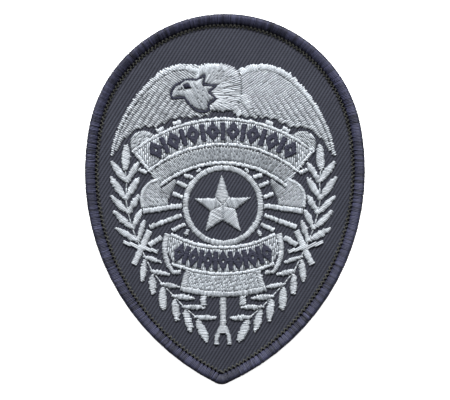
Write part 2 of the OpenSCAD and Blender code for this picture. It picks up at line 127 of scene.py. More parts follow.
class Value:
    """A shader socket that takes part in Python arithmetic."""

    def __init__(self, shader: "Shader", socket: Socket) -> None:
        """Wraps one output socket of a shader."""
        self.shader = shader
        self.socket = socket

    def _math(self, operation: str, *terms: Any) -> "Value":
        """Adds one Math node, whose terms are values or numbers."""
        node = self.shader.node("ShaderNodeMath", {"operation": operation}, dict(enumerate(terms)))
        return Value(self.shader, node.outputs[0])

    def __add__(self, other: Any) -> "Value":
        """Adds."""
        return self._math("ADD", self, other)

    def __radd__(self, other: Any) -> "Value":
        """Adds, from the right."""
        return self._math("ADD", other, self)

    def __sub__(self, other: Any) -> "Value":
        """Subtracts."""
        return self._math("SUBTRACT", self, other)

    def __rsub__(self, other: Any) -> "Value":
        """Subtracts, from the right."""
        return self._math("SUBTRACT", other, self)

    def __mul__(self, other: Any) -> "Value":
        """Multiplies."""
        return self._math("MULTIPLY", self, other)

    def __rmul__(self, other: Any) -> "Value":
        """Multiplies, from the right."""
        return self._math("MULTIPLY", other, self)

    def __pow__(self, other: Any) -> "Value":
        """Raises to a power."""
        return self._math("POWER", self, other)

    def wave(self) -> "Value":
        """Gives a sine wave of one turn a unit, from 0 to 1."""
        return self._math("SINE", self * math.tau) * 0.5 + 0.5

    def stripes(self, pitch: float) -> "Value":
        """Gives a wave over a place in metres that repeats at a pitch in millimetres."""
        return (self * (1 / (pitch * MM))).wave()

    def clamp(self) -> "Value":
        """Holds the value between 0 and 1."""
        return self._math("MAXIMUM", self._math("MINIMUM", self, 1.0), 0.0)


@dataclass(frozen=True)
class Noise:
    """A noise: its cells a metre and how many finer layers it has."""

    scale: float
    detail: float = 2.0


@dataclass(frozen=True)
class Relief:
    """A bump: its strength, and the height in millimetres that 1 stands for."""

    strength: float
    height: float


class Shader:
    """One material and the nodes that are added to it."""

    def __init__(self, name: str) -> None:
        """Starts a material with its Principled shader.

        Args:
            name: the material's name.
        """
        self.material = bpy.data.materials.new(name)
        self.material.use_nodes = True
        self.tree = self.material.node_tree
        self.surface = self.tree.nodes["Principled BSDF"]

    def node(self, kind: str, settings: dict[str, Any], inputs: dict[Any, Any]) -> bpy.types.Node:
        """Adds a node.

        Args:
            kind: the node's type.
            settings: its properties, set before its sockets.
            inputs: a value, colour or link for each socket, by name or place.

        Returns:
            The new node.
        """
        made = self.tree.nodes.new(kind)
        for name, setting in settings.items():
            setattr(made, name, setting)
        for place, given in inputs.items():
            self.feed(made.inputs[place], given)
        return made

    def feed(self, socket: Socket, given: Any) -> None:
        """Sets or links one input socket.

        Args:
            socket: the input socket.
            given: the value or output socket that is linked to it, or what it is set to.
        """
        if isinstance(given, Value):
            self.tree.links.new(given.socket, socket)
        elif isinstance(given, Socket):
            self.tree.links.new(given, socket)
        else:
            socket.default_value = given

    def attribute(self, name: str) -> Value:
        """Reads a number that the mesh holds."""
        made = self.node("ShaderNodeAttribute", {"attribute_name": name}, {})
        return Value(self, made.outputs["Fac"])

    def place(self) -> Socket:
        """Gives the point's object coordinates."""
        return self.node("ShaderNodeTexCoord", {}, {}).outputs["Object"]

    def parts(self, vector: Socket) -> tuple[Value, Value]:
        """Gives the first two parts of a vector."""
        made = self.node("ShaderNodeSeparateXYZ", {}, {0: vector})
        return Value(self, made.outputs[0]), Value(self, made.outputs[1])

    def noise(self, vector: Socket, grain: Noise) -> Value:
        """Gives a noise over a place, from 0 to 1."""
        inputs = {"Vector": vector, "Scale": grain.scale, "Detail": grain.detail}
        return Value(self, self.node("ShaderNodeTexNoise", {}, inputs).outputs["Fac"])

    def mix(self, factor: Value, first: Any, second: Any) -> Socket:
        """Mixes two colours, which are sockets 6 and 7 of the node. Output 2 is their mix."""
        made = self.node("ShaderNodeMix", {"data_type": "RGBA"}, {0: factor, 6: first, 7: second})
        return made.outputs[2]

    def bump(self, height: Value, relief: Relief) -> Socket:
        """Turns a height from 0 to 1 into a bumped normal."""
        inputs = {"Height": height, "Strength": relief.strength, "Distance": relief.height * MM}
        return self.node("ShaderNodeBump", {}, inputs).outputs["Normal"]

    def finish(self, **sockets: Any) -> bpy.types.Material:
        """Feeds the surface shader.

        Args:
            sockets: what feeds each of the shader's sockets, named with underscores in place of spaces.

        Returns:
            The material.
        """
        for name, given in sockets.items():
            self.feed(self.surface.inputs[name.replace("_", " ")], given)
        return self.material


def opaque(colour: Colour) -> tuple[float, float, float, float]:
    """Gives a colour its alpha of 1."""
    return (*colour, 1.0)


@dataclass(frozen=True)
class ThreadFinish:
    """Embroidery thread: two plies of fine fibres with a soft gleam.

    Args:
        name: the material's name.
        slot: the record's material slot.
        dark: the colour of the deepest threads, and of the underlay, where it is painted shade in the gaps
            between threads.
        light: the colour of the brightest threads.
        roughness: how dull the thread is.
        sheen: how much the loose fibres glow.
        gleam: how strongly the smooth thread mirrors the light.
        ply: the length of one turn of the plies.
    """

    name: str
    slot: str
    dark: Colour
    light: Colour
    roughness: float
    sheen: float = 0.1
    gleam: float = 0.5
    ply: float = 0.9

    # Turns round the thread, and turns along it in one turn of the plies
    PLIES = (2, 1)
    FIBRES = (9, 5)
    CLOUDS = Noise(420.0)
    # How much the thread's tone, the clouds and the plies lighten it, and what is taken off again; the plies'
    # share is painted shade in the grooves between the plies
    TONE_LIGHT = 0.8
    CLOUD_LIGHT = 0.25
    PLY_LIGHT = 0.12
    DARKER = 0.08
    # How much a cloud adds to the roughness
    CLOUD_DULL = 0.08
    FUZZ_ROUGHNESS = 0.4
    # The shares of the plies and the fibres in the relief
    PLY_RELIEF = 0.8
    FIBRE_RELIEF = 0.2
    RELIEF = Relief(0.5, 0.04)

    def material(self) -> bpy.types.Material:
        """Builds the material once and gives it again after that.

        Returns:
            The material.
        """
        known = bpy.data.materials.get(self.name)
        if known is not None:
            return known
        shader = Shader(self.name)
        place = shader.parts(shader.node("ShaderNodeUVMap", {"uv_map": "thread"}, {}).outputs[0])
        twist = self._turns(place, self.PLIES)
        fibre = self._turns(place, self.FIBRES)
        cloudy = shader.noise(shader.place(), self.CLOUDS)
        tone = shader.attribute("tone") * self.TONE_LIGHT
        # The plies' wave paints shade into the grooves between the plies.
        light = tone + cloudy * self.CLOUD_LIGHT + twist * self.PLY_LIGHT
        return shader.finish(
            Base_Color=shader.mix((light - self.DARKER).clamp(), opaque(self.dark), opaque(self.light)),
            Roughness=self.roughness + self.CLOUD_DULL * cloudy,
            Sheen_Weight=self.sheen,
            Sheen_Roughness=self.FUZZ_ROUGHNESS,
            Specular_IOR_Level=self.gleam,
            Normal=shader.bump(twist * self.PLY_RELIEF + fibre * self.FIBRE_RELIEF, self.RELIEF),
        )

    def _turns(self, place: tuple[Value, Value], turns: tuple[int, int]) -> Value:
        """Gives a wave that winds round the thread."""
        around, along = place
        return (around * turns[0] + along * (turns[1] / self.ply)).wave()


@dataclass(frozen=True)
class TwillFinish:
    """Dyed cotton twill: ridges of yarn between slanted furrows.

    Args:
        name: the material's name.
        furrow: the colour down between two ridges, darker as painted shade in the furrow.
        ridge: the colour on a ridge.
        faded: the colour of a worn patch of ridge.
        angle: the ridges' angle in degrees.
        pitch: the distance between two ridges.
        yarn: the distance between two yarns along the cloth.
        row: the distance between two rows of yarn across the cloth.
    """

    name: str
    furrow: Colour
    ridge: Colour
    faded: Colour
    angle: float
    pitch: float
    yarn: float = 0.22
    row: float = 0.5

    # How far the ridges' wave is moved, in turns, so that it starts in a furrow, and how slim the furrows are
    SHIFT = 0.25
    SLIM = 0.6
    SPECKS = Noise(2600.0)
    PATCHES = Noise(160.0, 3.0)
    # How sharp the edges of the worn patches are, and how few there are
    WORN_SHARP = 2.2
    WORN_FEW = 0.6
    # How much the ridges, the specks and the rows lighten the cloth, and what is taken off again; the ridges'
    # share leaves painted shade in the furrows
    RIDGE_LIGHT = 0.75
    SPECK_LIGHT = 0.5
    ROW_LIGHT = 0.16
    DARKER = 0.26
    ROUGHNESS = 0.9
    # How much a speck takes off the roughness
    SPECK_SMOOTH = 0.1
    GLEAM = 0.15
    # The shares of the yarns, the rows and the specks in the relief
    YARN_RELIEF = 0.3
    ROW_RELIEF = 0.3
    SPECK_RELIEF = 0.4
    RELIEF = Relief(0.6, 0.06)

    def material(self) -> bpy.types.Material:
        """Builds the material.

        Returns:
            The material.
        """
        shader = Shader(self.name)
        place = shader.place()
        x, y = shader.parts(place)
        across_x, across_y = heading(self.angle + 90) / (self.pitch * MM)
        across = x * float(across_x) + y * float(across_y)
        on_ridge = (across - self.SHIFT).wave() ** self.SLIM
        yarn = x.stripes(self.yarn)
        row = y.stripes(self.row)
        speck = shader.noise(place, self.SPECKS)
        cloud = shader.noise(place, self.PATCHES)
        worn = (cloud * self.WORN_SHARP - self.WORN_FEW).clamp()
        raised = shader.mix(worn, opaque(self.ridge), opaque(self.faded))
        # Painted shade: the furrows between the ridges are darker than the ridges.
        lit = on_ridge * self.RIDGE_LIGHT + speck * self.SPECK_LIGHT + row * self.ROW_LIGHT - self.DARKER
        # Painted shade: the mesh's attribute darkens the cloth in a channel under the border's chain.
        light = lit.clamp() * (1 - shader.attribute("painted_chain_shade"))
        height = yarn * self.YARN_RELIEF + row * self.ROW_RELIEF + speck * self.SPECK_RELIEF
        return shader.finish(
            Base_Color=shader.mix(light, opaque(self.furrow), raised),
            Roughness=self.ROUGHNESS - self.SPECK_SMOOTH * speck,
            Specular_IOR_Level=self.GLEAM,
            Normal=shader.bump(height, self.RELIEF),
        )


@dataclass(frozen=True)
class BackingFinish:
    """The plain woven backing on the underside.

    Args:
        name: the material's name.
        colour: the colour on the yarns.
        weave: the distance between two yarns.
    """

    name: str
    colour: Colour
    weave: float = 0.45

    SPECKS = Noise(1500.0)
    # The colour between the yarns against the colour on them, darker as painted shade in the weave's hollows
    HOLLOW = 0.5
    # How much the weave and the specks lighten the cloth
    WEAVE_LIGHT = 0.7
    SPECK_LIGHT = 0.5
    ROUGHNESS = 0.9
    # How much a speck takes off the roughness
    SPECK_SMOOTH = 0.05
    RELIEF = Relief(0.5, 0.05)

    def material(self) -> bpy.types.Material:
        """Builds the material.

        Returns:
            The material.
        """
        shader = Shader(self.name)
        place = shader.place()
        x, y = shader.parts(place)
        weave = x.stripes(self.weave) * y.stripes(self.weave)
        speck = shader.noise(place, self.SPECKS)
        light = (weave * self.WEAVE_LIGHT + speck * self.SPECK_LIGHT).clamp()
        # Painted shade: the hollows between the yarns are darker.
        hollow = tuple(part * self.HOLLOW for part in self.colour)
        return shader.finish(
            Base_Color=shader.mix(light, opaque(hollow), opaque(self.colour)),
            Roughness=self.ROUGHNESS - self.SPECK_SMOOTH * speck,
            Normal=shader.bump(weave, self.RELIEF),
        )


SILVER = ThreadFinish(
    name="silver_rayon", slot="silver_thread", dark=(0.035, 0.042, 0.052), light=(0.405, 0.438, 0.478),
    roughness=0.34, gleam=1.0,
)
GREY = ThreadFinish(
    name="grey_rayon", slot="grey_thread", dark=(0.03, 0.036, 0.044), light=(0.335, 0.365, 0.4),
    roughness=0.37, gleam=0.85,
)
NAVY = ThreadFinish(
    name="navy_rayon", slot="navy_thread", dark=(0.008, 0.009, 0.017), light=(0.03, 0.032, 0.055),
    roughness=0.55, sheen=0.0, gleam=0.2,
)
EDGE = ThreadFinish(
    name="edge_thread", slot="border_thread", dark=(0.0055, 0.006, 0.0115), light=(0.043, 0.045, 0.084),
    roughness=0.5, sheen=0.0, gleam=0.24,
)
CHAIN = ThreadFinish(
    name="chain_thread", slot="border_thread", dark=(0.01, 0.011, 0.009), light=(0.046, 0.047, 0.038),
    roughness=0.55, sheen=0.0, gleam=0.4,
)
# Near black: the border's core, dark as painted shade where it shows between the threads, and the dots of
# painted shade between the chain's corners
CORE_AND_SHADE = ThreadFinish(
    name="border_core_and_shade", slot="border_thread", dark=(0.002, 0.002, 0.003), light=(0.004, 0.004, 0.006),
    roughness=0.9, sheen=0.0, gleam=0.0,
)
TWILL = TwillFinish(
    name="charcoal_twill", furrow=(0.0078, 0.0085, 0.0128), ridge=(0.0335, 0.0355, 0.0485),
    faded=(0.0415, 0.044, 0.059), angle=58.0, pitch=0.735,
)
BACKING = BackingFinish("backing_weave", (0.05, 0.05, 0.058))


class Mesh:
    """Small steps on one object at a time."""

    @staticmethod
    def only(made: Thing) -> None:
        """Selects one object alone and makes it active.

        Args:
            made: the object.
        """
        bpy.ops.object.select_all(action="DESELECT")
        made.select_set(True)
        bpy.context.view_layer.objects.active = made

    @staticmethod
    def place(name: str, mesh: bpy.types.Mesh, *finishes: bpy.types.Material) -> Thing:
        """Puts a mesh in the scene as an object at the origin.

        Args:
            name: the object's name.
            mesh: its mesh.
            finishes: its materials.

        Returns:
            The object.
        """
        for finish in finishes:
            mesh.materials.append(finish)
        made = bpy.data.objects.new(name, mesh)
        bpy.context.scene.collection.objects.link(made)
        return made

    @staticmethod
    def join(name: str, first: Thing, *others: Thing) -> Thing:
        """Joins objects into the first one.

        Args:
            name: the joined object's name.
            first: the object that the others join.
            others: the other objects.

        Returns:
            The joined object.
        """
        Mesh.only(first)
        for other in others:
            other.select_set(True)
        bpy.ops.object.join()
        first.name = name
        first.data.name = name
        return first


@dataclass
class Threads:
    """Laid threads, kept as arrays and joined into one mesh of closed tubes.

    Args:
        corners: the number of corners round a thread.
        batches: what was laid so far.
    """

    corners: int = 6
    batches: list[tuple[Any, ...]] = field(default_factory=list)

    # How far the plies are moved along a thread of tone 1, so that neighbours differ
    PLY_SHIFT = 7.3

    def lay(self, path: Array, side: Array, half: Array, thick: float, tone: Array) -> None:
        """Adds threads that have the same number of stations.

        Args:
            path: the threads' centre lines, threads by stations by 3.
            side: the level direction across each thread, threads by 3.
            half: half of the width at each station, threads by stations.
            thick: the thickness against the width.
            tone: the brightness of each thread, or at each of its stations, from 0 to 1.
        """
        if len(path):
            each = tone[:, None] if tone.ndim == 1 else tone
            self.batches.append((path, side, half, thick, np.broadcast_to(each, half.shape)))

    def mesh(self, name: str) -> bpy.types.Mesh:
        """Joins every thread that was laid.

        Args:
            name: the mesh's name.

        Returns:
            A mesh with the map thread and the attribute tone.
        """
        points, loops, totals, maps, tones = [], [], [], [], []
        count = 0
        for path, side, half, thick, tone in self.batches:
            verts = self._rings(path, side, half, thick)
            index, sizes, rows, turns = self._faces(path.shape[1])
            threads, each = len(path), verts.shape[1]
            points.append(verts.reshape(-1, 3))
            loops.append((index[None, :] + count + each * np.arange(threads)[:, None]).ravel())
            totals.append(np.tile(sizes, threads))
            steps = np.linalg.norm(np.diff(path, axis=1), axis=2)
            run = np.concatenate([np.zeros((threads, 1)), np.cumsum(steps, axis=1)], axis=1)
            along = run[:, rows] + tone[:, -1:] * self.PLY_SHIFT
            maps.append(np.stack([np.broadcast_to(turns, along.shape), along], axis=2))
            tones.append(np.repeat(tone.ravel(), self.corners))
            count += threads * each
        mesh = bpy.data.meshes.new(name)
        loop_index = np.concatenate(loops)
        total = np.concatenate(totals)
        mesh.vertices.add(count)
        mesh.vertices.foreach_set("co", (np.concatenate(points) * MM).ravel())
        mesh.loops.add(len(loop_index))
        mesh.loops.foreach_set("vertex_index", loop_index)
        mesh.polygons.add(len(total))
        mesh.polygons.foreach_set("loop_start", np.concatenate([[0], np.cumsum(total)[:-1]]))
        mesh.polygons.foreach_set("loop_total", total)
        mesh.polygons.foreach_set("use_smooth", np.ones(len(total), bool))
        mesh.update(calc_edges=True)
        uv_map = mesh.uv_layers.new(name="thread")
        uv_map.data.foreach_set("uv", np.concatenate([part.reshape(-1, 2) for part in maps]).ravel())
        mesh.attributes.new("tone", "FLOAT", "POINT").data.foreach_set("value", np.concatenate(tones))
        mesh.validate()
        return mesh

    def place(self, name: str, finish: ThreadFinish) -> Thing:
        """Puts the threads in the scene as one object of a finish."""
        return Mesh.place(name, self.mesh(name), finish.material())

    def _rings(self, path: Array, side: Array, half: Array, thick: float) -> Array:
        """Gives the corners round every station.

        Args:
            path: the threads' centre lines.
            side: the level direction across each thread.
            half: half of the width at each station.
            thick: the thickness against the width.

        Returns:
            The corners, threads by corners by 3.
        """
        ahead = np.gradient(path, axis=1)
        ahead /= np.linalg.norm(ahead, axis=2, keepdims=True)
        across = np.broadcast_to(side[:, None, :], path.shape)
        up = np.cross(ahead, across)
        up /= np.linalg.norm(up, axis=2, keepdims=True)
        turn = np.arange(self.corners) * math.tau / self.corners
        wide = across[:, :, None, :] * np.cos(turn)[None, None, :, None] * half[:, :, None, None]
        high = up[:, :, None, :] * np.sin(turn)[None, None, :, None] * half[:, :, None, None] * thick
        return (path[:, :, None, :] + wide + high).reshape(len(path), -1, 3)

    def _faces(self, stations: int) -> tuple[Array, ...]:
        """Gives one thread's faces.

        Args:
            stations: the number of stations along the thread.

        Returns:
            The corner indices, the faces' sizes, and each corner's station and its share of a turn.
        """
        n = self.corners
        index, sizes, rows, turns = [], [], [], []
        for row in range(stations - 1):
            for at in range(n):
                after = (at + 1) % n
                index += [row * n + at, row * n + after, (row + 1) * n + after, (row + 1) * n + at]
                rows += [row, row, row + 1, row + 1]
                turns += [at / n, (at + 1) / n, (at + 1) / n, at / n]
                sizes.append(4)
        last = (stations - 1) * n
        index += [at for at in reversed(range(n))] + [last + at for at in range(n)]
        rows += [0] * n + [stations - 1] * n
        turns += [at / n for at in reversed(range(n))] + [at / n for at in range(n)]
        sizes += [n, n]
        return np.array(index), np.array(sizes), np.array(rows), np.array(turns)


@dataclass(frozen=True)
class Row:
    """One line that stitches follow: its start, its direction, and whether only what lies ahead counts."""

    start: Array
    ahead: Array
    forward: bool = False


class Footprint:
    """The plan of a CAD node, read from the mesh that the frame holds."""

    # How far over the lowest point the underside may be
    FLAT = 0.001
    # The decimals to which corners are the same
    DECIMALS = 3
    # The least size of the sum of a corner's outward directions, so that sharp tips don't shoot out
    BLUNT = 0.7
    # How far a corner that lies right on a row is moved aside
    NUDGE = 1e-7
    # The widest gap between two faces that a row is sewn over, and the shortest span that is sewn
    GAP = 0.01
    SHORTEST = 0.08

    def __init__(self, node: str, grow: float) -> None:
        """Reads the node's underside and splits it into its loose parts.

        Args:
            node: the CAD node.
            grow: how far each part is widened all round.
        """
        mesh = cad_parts[node].data
        mesh.calc_loop_triangles()
        points = mesh_points(mesh)
        corners = np.empty(len(mesh.loop_triangles) * 3, np.int32)
        mesh.loop_triangles.foreach_get("vertices", corners)
        faces = points[corners.reshape(-1, 3)]
        self.low = float(points[:, 2].min())
        self.high = float(points[:, 2].max())
        flat = np.abs(faces[:, :, 2] - self.low).max(axis=1) < self.FLAT
        self.parts = [self._grown(part, grow) for part in self._split(faces[flat][:, :, :2])]

    @classmethod
    def outline(cls, part: Array) -> list[tuple[Point, Point]]:
        """Finds the steps round a loose part's outlines.

        Args:
            part: the part's faces.

        Returns:
            The start and end of each step, with the part on its left.
        """
        steps: dict[tuple[Point, Point], None] = {}
        for face in np.round(part, cls.DECIMALS):
            turn = np.cross(face[1] - face[0], face[2] - face[0])
            ring = face if turn > 0 else face[::-1]
            for here, there in zip(ring, np.roll(ring, -1, axis=0)):
                steps[(tuple(here), tuple(there))] = None
        return [(here, there) for here, there in steps if (there, here) not in steps]

    @classmethod
    def _grown(cls, part: Array, grow: float) -> Array:
        """Moves the outline's corners outwards.

        Args:
            part: the part's faces.
            grow: the distance.

        Returns:
            The faces of the wider part.
        """
        outward: dict[Point, Array] = {}
        for here, there in cls.outline(part):
            step = np.subtract(there, here)
            normal = np.array([step[1], -step[0]]) / np.linalg.norm(step)
            for corner in (here, there):
                outward[corner] = outward.get(corner, 0) + normal
        moved = part.copy()
        for face, keys in zip(moved, np.round(part, cls.DECIMALS)):
            for corner, key in zip(face, keys):
                normal = outward.get(tuple(key))
                if normal is not None:
                    size = max(np.linalg.norm(normal), cls.BLUNT)
                    corner += normal * 2 / size**2 * grow
        return moved

    @classmethod
    def _split(cls, faces: Array) -> list[Array]:
        """Groups faces that share a corner.

        Args:
            faces: the faces.

        Returns:
            The groups, the largest first.
        """
        keys = [[tuple(corner) for corner in face] for face in np.round(faces, cls.DECIMALS)]
        home: dict[Point, int] = {}
        group = list(range(len(faces)))

        def top(index: int) -> int:
            """Finds the first face of a group.

            Args:
                index: a face of the group.

            Returns:
                The first face.
            """
            while group[index] != index:
                index = group[index]
            return index

        for index, face in enumerate(keys):
            for corner in face:
                if corner in home:
                    group[top(index)] = top(home[corner])
                home[corner] = index
        tops = np.array([top(index) for index in range(len(faces))])
        found = [faces[tops == value] for value in np.unique(tops)]
        return sorted(found, key=lambda part: -len(part))

    @classmethod
    def spans(cls, part: Array, row: Row) -> list[Point]:
        """Finds where a row lies on a loose part.

        Args:
            part: the part's faces.
            row: the row.

        Returns:
            The spans along the row, from the nearest to the farthest.
        """
        offset = part - row.start
        along = offset @ row.ahead
        aside = offset @ np.array([-row.ahead[1], row.ahead[0]])
        aside = np.where(np.abs(aside) < cls.NUDGE, cls.NUDGE, aside)
        lows = np.full(len(part), np.inf)
        highs = np.full(len(part), -np.inf)
        for here, there in ((0, 1), (1, 2), (2, 0)):
            crosses = aside[:, here] * aside[:, there] < 0
            drop = aside[:, here] - aside[:, there]
            share = np.divide(aside[:, here], drop, where=crosses, out=np.zeros(len(part)))
            at = along[:, here] + share * (along[:, there] - along[:, here])
            lows = np.where(crosses, np.minimum(lows, at), lows)
            highs = np.where(crosses, np.maximum(highs, at), highs)
        hit = highs > lows
        merged: list[list[float]] = []
        for low, high in sorted(zip(lows[hit], highs[hit])):
            if row.forward and high < 0:
                continue
            if merged and low < merged[-1][1] + cls.GAP:
                merged[-1][1] = max(merged[-1][1], high)
            else:
                merged.append([low, high])
        return [(low, high) for low, high in merged if high - low > cls.SHORTEST]


class Run(Enum):
    """How the stitches of a piece are steered."""

    PARALLEL = "all at one angle"
    RADIAL = "towards a middle"
    ACROSS = "across each part's own length"
    POLAR = "towards a middle, or along the arc on an upright bar"


@dataclass(frozen=True)
class Sewing:
    """How one piece is sewn. Lengths are in millimetres and angles in degrees.

    Args:
        run: how the stitches are steered.
        angle: the stitches' angle, or their slant from square.
        middle: the middle for stitches that are steered by one, in the embroidery's frame.
        pitch: the distance from one thread to the next.
        width: the width of a thread.
        stitch: the length of a fill stitch, or 0 where a thread crosses the whole piece.
        line_angle: the angle of the lines in which the needle's holes are, or None where they are staggered.
        trim: how far the rows stay back from the edge.
        level: the height of the threads against the piece's height.
        phase: how far the rows are moved over, against the pitch.
        rise: how far from the edge a thread reaches its full height.
        dip: how far a thread goes down at the needle's holes, against the height.
        pinch: the width of a thread at a needle hole against its width.
        calm: the heights in the embroidery's frame where the dips start to fade and are gone.
        ragged: how far the ends of the threads stray.
        tone: the mean brightness of the threads.
        spread: how much the brightness strays.
    """

    run: Run
    angle: float = 0.0
    middle: Point = (0.0, 0.0)
    pitch: float = 0.37
    width: float = 0.41
    stitch: float = 0.0
    line_angle: float | None = None
    trim: float = 0.0
    level: float = 1.0
    phase: float = 0.0
    rise: float = 0.4
    dip: float = 0.5
    pinch: float = 0.5
    calm: Point | None = None
    ragged: float = 0.06
    tone: float = 0.54
    spread: float = 0.16

    # The gap in degrees from which a part counts as an arc and not as a whole ring
    OPEN = 30.0

    def rows(self, part: Array) -> Iterator[Row]:
        """Gives the rows that cover a loose part.

        Args:
            part: the part's faces.

        Yields:
            The rows in order.
        """
        middle = ART + np.array(self.middle)
        if self.run is Run.PARALLEL:
            yield from self._parallel(part, self.angle)
        elif self.run is Run.ACROSS:
            yield from self._parallel(part, self._length_angle(part) + 90 + self.angle)
        elif self.run is Run.RADIAL:
            yield from self._radial(part, middle)
        else:
            offset = part.reshape(-1, 2) - middle
            reach = np.linalg.norm(offset, axis=1)
            out = offset.mean(axis=0)
            out /= np.linalg.norm(out)
            aside = offset @ np.array([-out[1], out[0]])
            if np.ptp(reach) > np.ptp(aside):
                yield from self._parallel(part, math.degrees(math.atan2(out[1], out[0])) + 90)
            else:
                yield from self._radial(part, middle)

    def _parallel(self, part: Array, angle: float) -> Iterator[Row]:
        """Gives parallel rows.

        Args:
            part: the part's faces.
            angle: the rows' angle.

        Yields:
            The rows in order.
        """
        ahead = heading(angle)
        aside = heading(angle + 90)
        reach = part.reshape(-1, 2) @ aside
        count = max(2, round(np.ptp(reach) / self.pitch))
        for step in range(count):
            yield Row(aside * (reach.min() + (step + 0.5 + self.phase) * np.ptp(reach) / count), ahead)

    def _radial(self, part: Array, middle: Array) -> Iterator[Row]:
        """Gives rows that leave a middle.

        Args:
            part: the part's faces.
            middle: the middle.

        Yields:
            The rows in order.
        """
        offset = part.reshape(-1, 2) - middle
        reach = np.linalg.norm(offset, axis=1)
        angles = np.sort(np.degrees(np.arctan2(offset[:, 1], offset[:, 0])) % 360)
        gaps = np.diff(np.append(angles, angles[0] + 360))
        widest = int(np.argmax(gaps))
        start = angles[(widest + 1) % len(angles)]
        sweep = 360 - gaps[widest] if gaps[widest] > self.OPEN else 360.0
        count = max(2, round(math.radians(sweep) * reach.mean() / self.pitch))
        for step in range(count):
            yield Row(middle, heading(start + (step + 0.5 + self.phase) * sweep / count), forward=True)

    @staticmethod
    def _length_angle(part: Array) -> float:
        """Finds the long axis of a part.

        Args:
            part: the part's faces.

        Returns:
            The axis's angle in degrees.
        """
        area = np.abs(np.cross(part[:, 1] - part[:, 0], part[:, 2] - part[:, 0]))
        middle = np.average(part.mean(axis=1), axis=0, weights=area)
        spread = np.cov(part.reshape(-1, 2).T - middle[:, None], aweights=np.repeat(area, 3))
        axis = np.linalg.eigh(spread)[1][:, 1]
        return math.degrees(math.atan2(axis[1], axis[0]))


def smooth_line(points: Array, steps: int = 8) -> Array:
    """Gives a smooth curve through points.

    Args:
        points: the points.
        steps: the number of steps from one point to the next.

    Returns:
        The curve's points.
    """
    padded = np.vstack([2 * points[0] - points[1], points, 2 * points[-1] - points[-2]])
    t = (np.arange(steps) / steps)[:, None]
    parts = []
    for a, b, c, d in zip(padded[:-3], padded[1:-2], padded[2:-1], padded[3:]):
        square = (2 * a - 5 * b + 4 * c - d) * t**2
        cube = (3 * b - a - 3 * c + d) * t**3
        parts.append((2 * b + (c - a) * t + square + cube) / 2)
    return np.vstack([*parts, points[-1:]])


@dataclass(frozen=True)
class Band:
    """A satin column along a line, sewn on top of a piece.

    Args:
        line: the line's points in the embroidery's frame.
        widths: the column's width at the start and at the end.
        base: how high its needle holes are above the cloth.
        height: how high it stands above them.
        sewing: the threads.
    """

    line: tuple[Point, ...]
    widths: Point
    base: float
    height: float
    sewing: Sewing

    def ends(self, random: Random) -> Array:
        """Gives the column's stitches.

        Args:
            random: draws the irregularities.

        Returns:
            A start, an end, and twice 0 for each stitch, because each one is a whole span.
        """
        line = smooth_line(np.array(self.line)) + ART
        steps = np.linalg.norm(np.diff(line, axis=0), axis=1)
        run = np.concatenate([[0], np.cumsum(steps)])
        count = round(run[-1] / self.sewing.pitch)
        at = (np.arange(count) + 0.5) * run[-1] / count
        middle = np.stack([np.interp(at, run, line[:, axis]) for axis in (0, 1)], axis=1)
        ahead = np.stack([np.interp(at, run, np.gradient(line[:, axis], run)) for axis in (0, 1)], axis=1)
        turn = math.radians(90 + self.sewing.angle)
        across = np.stack([
            ahead[:, 0] * math.cos(turn) - ahead[:, 1] * math.sin(turn),
            ahead[:, 0] * math.sin(turn) + ahead[:, 1] * math.cos(turn),
        ], axis=1)
        across /= np.linalg.norm(across, axis=1, keepdims=True)
        half = np.interp(at, (0, run[-1]), self.widths)[:, None] / 2
        stray = random.normal(0, self.sewing.ragged, (2, count, 1))
        starts = middle - across * (half + stray[0])
        stops = middle + across * (half + stray[1])
        return np.hstack([starts, stops, np.zeros((count, 2))])


